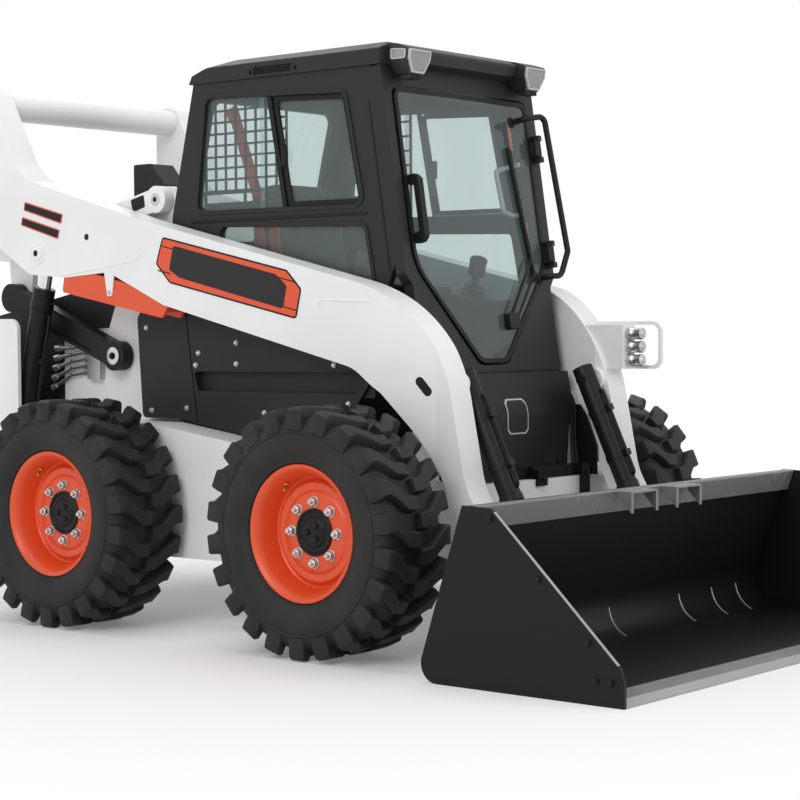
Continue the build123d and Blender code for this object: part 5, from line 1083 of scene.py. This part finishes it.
@dataclass
class Arms:
    """Plain bordered panel, painted shade in the holes, weld seam and fittings of the lift arms."""

    outer: float = 0.570
    panel: Outline = (
        (-0.482, 1.422), (-0.518, 1.324), (-0.446, 1.252), (0.185, 1.116), (0.210, 1.220), (0.142, 1.287))
    centre: Outline = (
        (-0.425, 1.388), (-0.448, 1.301), (-0.395, 1.271), (0.123, 1.152), (0.141, 1.232), (0.089, 1.273))
    panel_lines: Outline = (
        (-0.494, 1.390), (-0.424, 1.375), (-0.508, 1.300), (-0.440, 1.286), (0.105, 1.261), (0.185, 1.243),
        (0.123, 1.160), (0.192, 1.145))
    plates: Sequence[Outline] = (
        ((-1.258, 1.583), (-1.264, 1.550), (-1.045, 1.490), (-1.034, 1.526)),
        ((-1.274, 1.525), (-1.281, 1.493), (-1.064, 1.432), (-1.053, 1.467)))
    hook: Outline = ((-0.806, 1.312), (-0.788, 1.209), (-0.763, 1.209), (-0.746, 1.312))
    lift_pin: tuple[float, float] = (-1.187, 1.381)
    port_x: float = 0.8722
    port_y: float = 0.4585
    ports_z: tuple[float, ...] = (0.962, 1.010, 1.058)

    def build(self) -> None:
        """Adds the arms' pieces."""
        border = rounded(self.panel, 0.014)
        rim = surround(BEAM, border, 0.006, self.outer, self.outer + 0.0018)
        field = BEAM.prism(inset(border, 0.005), self.outer, self.outer + 0.0012)
        centre = BEAM.prism(rounded(self.centre, 0.012), self.outer, self.outer + 0.0020)
        ends = [(x, -self.outer - 0.0012, z) for x, z in self.panel_lines]
        lines = joined([lath(a, b, UP, 0.004, 0.0012) for a, b in zip(ends[::2], ends[1::2])])
        piece("arm_panel_rims", both(rim + lines), BLACK, "lift_arm")
        piece("arm_panels", both(field), ORANGE, "lift_arm")
        piece("arm_panel_centres", both(centre), CHARCOAL, "lift_arm")
        # Painted shade: black patches where the arms' holes, slots and pin sockets are.
        piece("arm_hole_shades", both(self.holes()), BLACK, "lift_arm")
        piece("arm_welds", both(self.welds()), WHITE, "lift_arm")
        blanks = [rounded(plate, 0.005) for plate in self.plates]
        fields = joined([BEAM.prism(blank, self.outer, self.outer + 0.0012) for blank in blanks])
        edges = joined([surround(BEAM, blank, 0.004, self.outer, self.outer + 0.0020) for blank in blanks])
        piece("blank_plates", both(fields), BLACK, "lift_arm")
        piece("blank_plate_edges", both(edges), ORANGE, "lift_arm")
        cap = turned([(0.030, 0.0), (0.030, 0.004), (0.027, 0.006), (0.012, 0.006)],
                     (self.lift_pin[0], -self.outer - 0.004, self.lift_pin[1]), RIGHT, 40)
        piece("arm_pin_caps", both(cap), WHITE, "lift_arm")
        keeper = BEAM.prism(rounded(self.hook, 0.010), 0.5642, 0.5705)
        piece("support_hook", keeper, WHITE, "lift_arm", bevel=0.001)
        piece("support_bolt", bolt((-0.7755, -0.5705, 1.223), RIGHT, 0.006), STEEL, "lift_arm")
        piece("coupler_sleeves", self.sleeves(), STEEL, "lift_arm")
        dome = [(0.021, 0.0), (0.021, 0.003), (0.017, 0.0045)]
        piece("tilt_pin_caps", both(turned(dome, (0.765, -0.309, 0.894), LEFT, 32)), BLACK, "lift_arm")

    def holes(self) -> Shape:
        """Makes thin black patches of painted shade in the right arm's round hole, slanted slot and lift pin
        socket.
        """
        taper = Bench((0.520, -self.outer, 0.0), (0.972, 0.2349, 0.0), UP)
        start, end, wide = np.array((0.187, 0.905)), np.array((0.2155, 0.872)), 0.0155
        run = (end - start) / np.linalg.norm(end - start)
        side = np.array((-run[1], run[0])) * wide
        ends = (start - run * wide, end + run * wide)
        slot = rounded([ends[0] - side, ends[1] - side, ends[1] + side, ends[0] + side], 0.015)
        # Painted shade: thin black patches stand for the dark insides of the hole, the pin's socket and the
        # slot.
        round_hole_shade = turned([(0.012, 0.0), (0.012, 0.0008)], (-0.900, -self.outer, 1.435), RIGHT, 24)
        pin_face = (self.lift_pin[0], -self.outer - 0.010, self.lift_pin[1])
        socket = turned([(0.0125, 0.0), (0.0125, 0.0006)], pin_face, RIGHT, 24)
        return joined([round_hole_shade, socket, taper.prism(slot, 0.0, 0.0008)])

    def welds(self) -> Shape:
        """Lays the weld bead along the right arm's rear plate."""
        path = [(-1.056, -self.outer, 1.291), (-0.789, -self.outer, 1.320), (-0.637, -self.outer, 1.339),
                (-0.599, -self.outer, 1.363)]
        knee = [(0.287, -self.outer, 1.146), (0.291, -self.outer, 1.180), (0.520, -self.outer, 1.174)]
        return tube(bent(path, 0.02), 0.0032, LEFT, 8) + tube(bent(knee, 0.02), 0.0028, LEFT, 8)

    def sleeves(self) -> Shape:
        """Turns the knurled sleeves of the quick couplers on the left leg."""
        profile = [(0.0202, 0.0), (0.0232, 0.004), (0.0232, 0.022), (0.0208, 0.026), (0.0208, 0.046),
                   (0.0222, 0.049), (0.0222, 0.0605), (0.0190, 0.0635), (0.0120, 0.0635), (0.0110, 0.0655),
                   (0.0040, 0.0660)]
        return joined([turned(profile, (self.port_x, self.port_y, z), FORWARD, 28) for z in self.ports_z])


@dataclass
class Cylinder:
    """One pair of hydraulic cylinders: gland, feed pipe and clamps on the barrels."""

    name: str
    body: str
    foot: Spot
    head: Spot
    radius: float
    rod: float
    length: float
    pipe_side: float

    def build(self) -> None:
        """Adds the pair's pieces."""
        piece(f"{self.name}_glands", both(self.gland()), BLACK, self.body, smooth=30.0)
        piece(f"{self.name}_pipes", both(self.pipe()), BLACK, self.body)

    def run(self) -> Array:
        """Gives the direction from the foot to the head."""
        run = np.array(self.head) - np.array(self.foot)
        return run / np.linalg.norm(run)

    def gland(self) -> Shape:
        """Turns the gland nut at the rod's end of the right barrel."""
        barrel, rod = self.radius, self.rod
        profile = [(barrel - 0.001, -0.034), (barrel + 0.0035, -0.030), (barrel + 0.0035, -0.006),
                   (barrel, -0.001), (rod + 0.006, 0.0006), (rod + 0.003, 0.004), (rod + 0.0005, 0.0045),
                   (rod + 0.0005, -0.034)]
        along = [(radius, self.length + distance) for radius, distance in profile]
        return turned(along, self.foot, self.run(), 48, ring=True)

    def pipe(self) -> Shape:
        """Bends the feed pipe along the right barrel, with its two clamps."""
        run = self.run()
        side = np.array((run[2], 0.0, -run[0])) * self.pipe_side
        foot = np.array(self.foot)
        near, far, last = self.radius - 0.004, self.radius + 0.010, self.length - 0.050
        spots = [(0.060, near), (0.060, far), (last, far), (last, near)]
        path = bent([foot + run * along + side * away for along, away in spots], 0.012)
        clamps = []
        for share in (0.3, 0.7):
            spot = foot + run * self.length * share
            inner, outer = self.radius - 0.001, self.radius + 0.0025
            band = [(outer, -0.011), (outer, 0.011), (inner, 0.011), (inner, -0.011)]
            clamps.append(turned(band, spot, run, 40, ring=True))
            middle = spot + side * (self.radius + 0.009)
            clamps.append(lath(middle - run * 0.011, middle + run * 0.011, LEFT, 0.030, 0.020))
        return joined([tube(path, 0.0065, LEFT, 12), *clamps])


@dataclass
class Linkage:
    """Caps on the frame's link pins, painted shade in the upper pins' sockets, and bolts of the bucket pins.
    """

    control_pin: Spot = (-0.896, -0.4490, 0.983)
    upper_pin: Spot = (-0.657, -0.4420, 1.572)
    bucket_pin: Spot = (1.030, -0.5270, 0.178)
    plate: Outline = ((-0.795, 1.575), (-0.782, 1.529), (-0.715, 1.546), (-0.722, 1.592))

    def build(self) -> None:
        """Adds the pins' pieces."""
        dome = [(0.034, 0.0), (0.034, 0.002), (0.031, 0.0035), (0.012, 0.0035)]
        cap = turned(dome, self.control_pin, RIGHT, 40)
        thin = turned([(0.023, 0.0), (0.023, 0.0018), (0.019, 0.0026)], self.upper_pin, RIGHT, 36)
        piece("link_caps", both(cap + thin), STEEL)
        x, y, z = self.control_pin
        head = bolt((x, y - 0.0033, z), RIGHT, 0.010)
        x, y, z = self.upper_pin
        # Painted shade: a thin black disc stands for the upper pin's socket.
        socket = turned([(0.010, 0.0), (0.010, 0.0004)], (x, y - 0.0026, z), RIGHT, 24)
        piece("link_bolts_and_socket_shades", both(head + socket), BLACK, bevel=0.0004)
        plate = BEAM.prism(rounded(self.plate, 0.006), 0.4400, 0.4408)
        piece("link_plates", both(plate), BLACK, "upper_links")
        pin_head = bolt(self.bucket_pin, RIGHT, 0.014)
        piece("bucket_pin_bolts", both(pin_head), STEEL, "bucket", bevel=0.001)


# Bucket, panels, front and tail


@dataclass
class Bucket:
    """Bolts and bright edges of the side plates, and the seams in the heel."""

    half: float = 0.963
    bolts: Outline = (
        (1.333, 0.515), (1.509, 0.347), (1.686, 0.179), (1.713, 0.072), (1.765, 0.072))
    seams_y: tuple[float, ...] = (-0.82, -0.65, -0.43, -0.01, 0.43, 0.65, 0.82)

    def build(self) -> None:
        """Adds the bucket's pieces."""
        heads = [bolt((x, -self.half, z), RIGHT, 0.009) for x, z in self.bolts]
        piece("bucket_bolts", both(joined(heads)), BLACK, "bucket", bevel=0.0008)
        piece("bucket_seams", joined([self.seam(y) for y in self.seams_y]), EDGE, "bucket")
        bright = lath((1.346, -0.957, 0.5360), (1.788, -0.957, 0.1217), LEFT, 0.0118, 0.002)
        piece("bucket_side_edges", both(bright), EDGE, "bucket")

    def seam(self, y: float) -> Shape:
        """Lays one wear strip up the inside of the heel."""
        middle, radius = np.array((1.2123, 0.140)), 0.110
        turns = np.radians(np.linspace(250, 186, 18))
        x, z = middle[:, None] + radius * np.stack([np.cos(turns), np.sin(turns)])
        path = np.stack([x, np.full_like(x, y), z], axis=1)
        return tube(path, 0.0028, LEFT, 8)


@dataclass
class Panels:
    """Bolts of the side panels and the linings of the bays behind them."""

    outer: float = 0.440
    bolts: Outline = (
        (-0.238, 1.033), (-0.239, 0.956), (-0.435, 0.995), (-0.450, 0.950), (0.241, 0.955), (0.307, 0.820),
        (-0.501, 0.790), (-0.690, 0.778), (-0.715, 1.090), (-0.100, 0.780))
    lining: Outline = ((-1.285, 0.700), (-1.030, 0.700), (-1.005, 1.090), (-1.285, 1.090))

    def build(self) -> None:
        """Adds the panels' pieces."""
        heads = [bolt((x, -self.outer, z), RIGHT, 0.0075) for x, z in self.bolts]
        piece("panel_bolts", both(joined(heads)), STEEL, bevel=0.0006)
        lining = BEAM.prism(self.lining, 0.3551, 0.3575)
        piece("bay_linings", both(lining), WHITE, bevel=0.0006)


@dataclass
class Front:
    """Blank plate, raised border, walls, guards, bracket and pipes at the front."""

    face: float = 0.712
    sill: float = 0.546
    wall_top: float = 0.850
    wall_x: float = 0.676
    guard: Outline = (
        (0.6758, 0.546), (0.778, 0.546), (0.778, 0.650), (0.732, 0.760), (0.704, 0.800), (0.6758, 0.800))
    border: Outline = (
        (-0.272, 0.562), (0.272, 0.562), (0.284, 0.640), (0.225, 0.696), (-0.225, 0.696), (-0.284, 0.640))

    def build(self) -> None:
        """Adds the front's pieces."""
        piece("front_plate_edge", self.badge(0.060, 0.708, 0.832, 0.0016), PALE_GREY)
        piece("front_plate", self.badge(0.055, 0.713, 0.827, 0.0026), BLACK)
        rise = (self.sill, self.wall_top)
        walls = FRONTAL.slab((0.286, 0.386), rise, (0.668, self.wall_x))
        walls = walls + FRONTAL.slab((0.3855, 0.3965), rise, (0.560, self.wall_x))
        piece("front_guards", both(BEAM.prism(self.guard, 0.389, 0.395)), BLACK, bevel=0.001)
        piece("front_side_walls", both(walls), WHITE, bevel=0.001)
        piece("front_seal", FRONTAL.slab((-0.388, 0.388), (0.9215, 0.9305), (0.600, 0.615)), SEAL)
        border = rounded(self.border, 0.020)
        heads = [bolt((self.face, y, 0.602), FORWARD, 0.008) for y in (-0.240, 0.240)]
        trim = joined([surround(FRONTAL, border, 0.007, self.face - 0.001, self.face + 0.003), *heads])
        piece("front_trim", trim, BLACK, bevel=0.001)
        piece("front_bracket", self.bracket(), BLACK, bevel=0.0015)
        piece("front_pipes", self.pipes(), HOSE)

    def badge(self, half: float, low: float, high: float, thick: float) -> Shape:
        """Bends a blank plate with cut corners round the panel's shoulder.

        Args:
            half: Half its width.
            low: The height of its lower edge.
            high: The height of its upper edge.
            thick: How far it stands out.

        Returns:
            The plate.
        """
        z = np.linspace(low, high, 28)
        lift = np.clip(z - 0.769, 0.0, 0.0403)
        x = self.face - 0.090 + np.sqrt(0.090**2 - lift**2) - np.clip(z - 0.8093, 0.0, None) * 0.5
        width = half - np.clip(0.014 - np.minimum(z - low, high - z), 0.0, None)
        edges = ((thick, -1), (thick, 1), (-0.001, 1), (-0.001, -1))
        return capped(np.stack([np.stack([x + out, side * width, z], axis=1) for out, side in edges], axis=1))

    def bracket(self) -> Shape:
        """Makes the bar on the front wall's top edge, its block and the post bolted on at the left."""
        bar = FRONTAL.slab((0.060, 0.335), (self.sill, 0.588), (0.7125, 0.736))
        hung = []
        for wide, foot, top, out in (((0.058, 0.112), 0.522, 0.580, 0.760),
                                     ((0.325, 0.370), 0.432, 0.590, 0.762)):
            hung.append(FRONTAL.slab(wide, (foot, top), (0.7452, out)))
            hung.append(FRONTAL.slab(wide, (self.sill, top), (0.730, 0.750)))
        heads = [bolt(spot, FORWARD, 0.009) for spot in ((0.760, 0.085, 0.548), (0.762, 0.347, 0.556))]
        return joined([bar, *hung, *heads])

    def pipes(self) -> Shape:
        """Bends the two pipes that rise beside the left tilt cylinder from the bracket into the wall."""
        lines = []
        for shift in (0.0, 0.020):
            y = 0.374 - shift
            spots = [(0.705, y, 0.560), (0.692, y, 0.660), (0.690, y, 0.800), (0.6735, y, 0.836)]
            lines.append(tube(bent(spots, 0.03), 0.006, LEFT, 12))
        return joined(lines)


@dataclass
class Tail:
    """Latch and bolts of the tailgate, and the tail lamps' bezels."""

    gate_x: float = -1.792
    lamp_x: float = -1.810
    lamps_z: tuple[float, ...] = (0.900, 1.010)
    lamp_half: float = 0.035
    lamp_width: float = 0.120
    bolt_edge: float = 0.030

    def build(self) -> None:
        """Adds the tail's pieces."""
        low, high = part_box("tailgate")
        gate = Bench((self.gate_x, 0.0, 0.0), RIGHT, UP)
        edge = -low[1]
        plate = gate.prism(rounded([(edge - 0.052, 0.790), (edge - 0.014, 0.790), (edge - 0.014, 0.900),
                                    (edge - 0.052, 0.900)], 0.010), 0.0, 0.004)
        grip = gate.slab((edge - 0.041, edge - 0.025), (0.806, 0.884), (0.004, 0.012))
        piece("gate_latch", plate + grip, BLACK, "tailgate", bevel=0.0015)
        rim = self.bolt_edge
        spots = [(side * (edge - rim), z) for side in (-1, 1) for z in (low[2] + rim, high[2] - rim)]
        heads = [bolt((self.gate_x, -right, z), BACKWARD, 0.008) for right, z in spots]
        piece("gate_bolts", joined(heads), STEEL, "tailgate", bevel=0.0008)
        lamp_low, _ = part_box("tail_lamps")
        back = Bench((self.lamp_x, 0.0, 0.0), RIGHT, UP)
        wide = (-lamp_low[1] - self.lamp_width, -lamp_low[1])
        rings = []
        for z in self.lamps_z:
            foot, top = z - self.lamp_half, z + self.lamp_half
            lamp = rounded([(wide[0], foot), (wide[1], foot), (wide[1], top), (wide[0], top)], 0.020)
            rings.append(surround(back, inset(lamp, -0.004), 0.007, -0.0118, 0.002))
        piece("lamp_rims", both(joined(rings)), BLACK)


# Camera, light and floor


@dataclass
class Studio:
    """Camera, lights, pale floor and white surroundings."""

    eye: Spot = (5.016984, -5.707886, 1.079545)
    yaw: float = 0.683322
    pitch: float = 0.042298
    roll: float = -0.005875
    focal_px: float = 2032.15
    centre_px: tuple[float, float] = (442.49, 414.83)
    image_px: float = 800.0
    sensor_mm: float = 36.0
    floor_radius: float = 30.0
    fade_start: float = 1.1
    fade_end: float = 3.2
    fade_least: float = 0.14
    world_dim: float = 0.4

    def build(self) -> None:
        """Sets up everything around the machine."""
        self.place_camera()
        self.light()
        self.lay_floor()
        bpy.context.scene.view_settings.view_transform = "Standard"

    def place_camera(self) -> None:
        """Places the camera from its yaw, pitch and roll, with the lens shift of the framing."""
        forward = np.array([
            -math.sin(self.yaw) * math.cos(self.pitch),
            math.cos(self.yaw) * math.cos(self.pitch),
            -math.sin(self.pitch),
        ])
        right = np.array([math.cos(self.yaw), math.sin(self.yaw), 0.0])
        up = np.cross(right, forward)
        rolled_right = math.cos(self.roll) * right + math.sin(self.roll) * up
        rolled_up = -math.sin(self.roll) * right + math.cos(self.roll) * up
        turn = np.eye(4)
        turn[:3, :3] = np.stack([rolled_right, rolled_up, -forward], axis=1)
        turn[:3, 3] = self.eye
        lens = bpy.data.cameras.new("camera")
        lens.sensor_width = self.sensor_mm
        lens.lens = self.focal_px / self.image_px * self.sensor_mm
        lens.shift_x = (self.image_px / 2 - self.centre_px[0]) / self.image_px
        lens.shift_y = (self.centre_px[1] - self.image_px / 2) / self.image_px
        camera = bpy.data.objects.new("camera", lens)
        camera.matrix_world = Matrix(turn.tolist())
        bpy.context.scene.collection.objects.link(camera)
        bpy.context.scene.camera = camera

    def light(self) -> None:
        """Adds a large key, a fill, a top and a rear light in white surroundings."""
        for name, place, aim, size, power in (
            ("key", (2.0, -7.0, 5.5), (0.0, 0.0, 0.8), 4.5, 235.0),
            ("fill", (7.5, 1.0, 3.5), (0.5, 0.0, 0.8), 4.0, 110.0),
            ("top", (-0.5, 0.0, 7.0), (0.0, 0.0, 0.0), 5.0, 145.0),
            ("rear", (-6.5, 3.5, 4.0), (-0.5, 0.0, 0.8), 4.0, 90.0),
        ):
            lamp = bpy.data.lights.new(name, "AREA")
            lamp.size = size
            lamp.energy = power
            holder = bpy.data.objects.new(name, lamp)
            away = np.array(place) - np.array(aim)
            away = away / np.linalg.norm(away)
            side = np.cross(LEFT if abs(away[2]) > 0.99 else UP, away)
            side = side / np.linalg.norm(side)
            turn = np.eye(4)
            turn[:3, :3] = np.stack([side, np.cross(away, side), away], axis=1)
            turn[:3, 3] = place
            holder.matrix_world = Matrix(turn.tolist())
            bpy.context.scene.collection.objects.link(holder)
        self.surround()

    def surround(self) -> None:
        """Makes the white world, dimmed for the light that it throws on matt surfaces."""
        world = bpy.data.worlds.new("studio")
        bpy.context.scene.world = world
        graph = Graph(world)
        eye, shine, glass = (graph.node("ShaderNodeLightPath", out=f"Is {kind} Ray")
                             for kind in ("Camera", "Glossy", "Transmission"))
        levels = {"Value": eye.over(shine.over(glass)), "To Min": self.world_dim, "To Max": 1.0}
        level = graph.node("ShaderNodeMapRange", inputs=levels)
        white = graph.node("ShaderNodeBackground", inputs={"Color": (1.0, 1.0, 1.0, 1.0), "Strength": level})
        graph.surface(white, "ShaderNodeOutputWorld")

    def lay_floor(self) -> None:
        """Lays a round pale floor that fades to plain white away from the machine."""
        turns = np.linspace(0, 2 * math.pi, 96, endpoint=False)
        ring = np.stack([np.cos(turns), np.sin(turns), np.zeros_like(turns)], axis=1) * self.floor_radius
        mesh = bpy.data.meshes.new("floor")
        mesh.from_pydata(ring.tolist(), [], [list(range(len(turns)))])
        finish = bpy.data.materials.new("pale_floor")
        graph = Graph(finish)
        reach = graph.node("ShaderNodeVectorMath", {"operation": "LENGTH"}, {0: graph.spot()}, out="Value")
        pale = graph.node("ShaderNodeBsdfDiffuse", inputs={"Color": (0.90, 0.90, 0.90, 1.0)})
        white = graph.node("ShaderNodeEmission", inputs={"Color": (1.0, 1.0, 1.0, 1.0), "Strength": 1.0})
        fade = reach.step(self.fade_start, self.fade_end) * (1.0 - self.fade_least) + self.fade_least
        graph.surface(graph.node("ShaderNodeMixShader", inputs={0: fade, 1: pale, 2: white}))
        mesh.materials.append(finish)
        floor = bpy.data.objects.new("floor", mesh)
        bpy.context.scene.collection.objects.link(floor)


LIFT = Cylinder("lift", "lift_barrels", (-1.414, -0.510, 0.450), (-1.187, -0.510, 1.381), 0.043, 0.025,
                0.770, 1.0)
TILT = Cylinder("tilt", "tilt_barrels", (0.765, -0.345, 0.894), (1.060, -0.345, 0.268), 0.0375, 0.020,
                0.440, -1.0)
NODE_FINISHES = {
    WHITE: ("main_frame", "uprights", "tail_frame", "upper_links", "arm_right", "arm_left", "arm_tubes",
            "aux_couplers"),
    CHARCOAL: ("engine_hood", "side_panels", "cab_side_right", "cab_side_left", "cab_front", "cab_roof",
               "cab_rear", "tailgate"),
    BLACK: ("axle_tubes", "engine_block", "front_panel", "cab_floor", "consoles", "control_links",
            "lift_barrels", "tilt_barrels", "bucket_shell", "bucket_sides", "quick_coupler", "door_frame",
            "door_fittings", "window_guard"),
    ORANGE: ("arm_support", "rim_front_left", "rim_front_right", "rim_rear_left", "rim_rear_right"),
    TYRE: ("tyre_front_left", "tyre_front_right", "tyre_rear_left", "tyre_rear_right"),
    CLEAR: ("cab_glass", "rear_glass", "door_glass"),
    STEEL: ("hydraulic_lines",),
    CHROME: ("lift_rods", "tilt_rods"),
    PLATE: ("bucket_lip",),
    EDGE: ("cutting_edge",),
    SEAT_CLOTH: ("seat",),
    BLACK_PLASTIC: ("work_lamps",),
    RED_LENS: ("tail_lamps",),
}


def main() -> None:
    """Builds the machine's looks in order."""
    logging.basicConfig(level=logging.INFO, format="%(message)s")
    for finish, nodes in NODE_FINISHES.items():
        for node in nodes:
            dress(node, finish)
    for axle in Axle:
        for side in Side:
            Wheel(axle, side).build()
    for group in (Cab(), Door(), Arms(), LIFT, TILT, Linkage(), Bucket(), Panels(), Front(), Tail()):
        group.build()
    Studio().build()


if __name__ == "__main__":
    main()
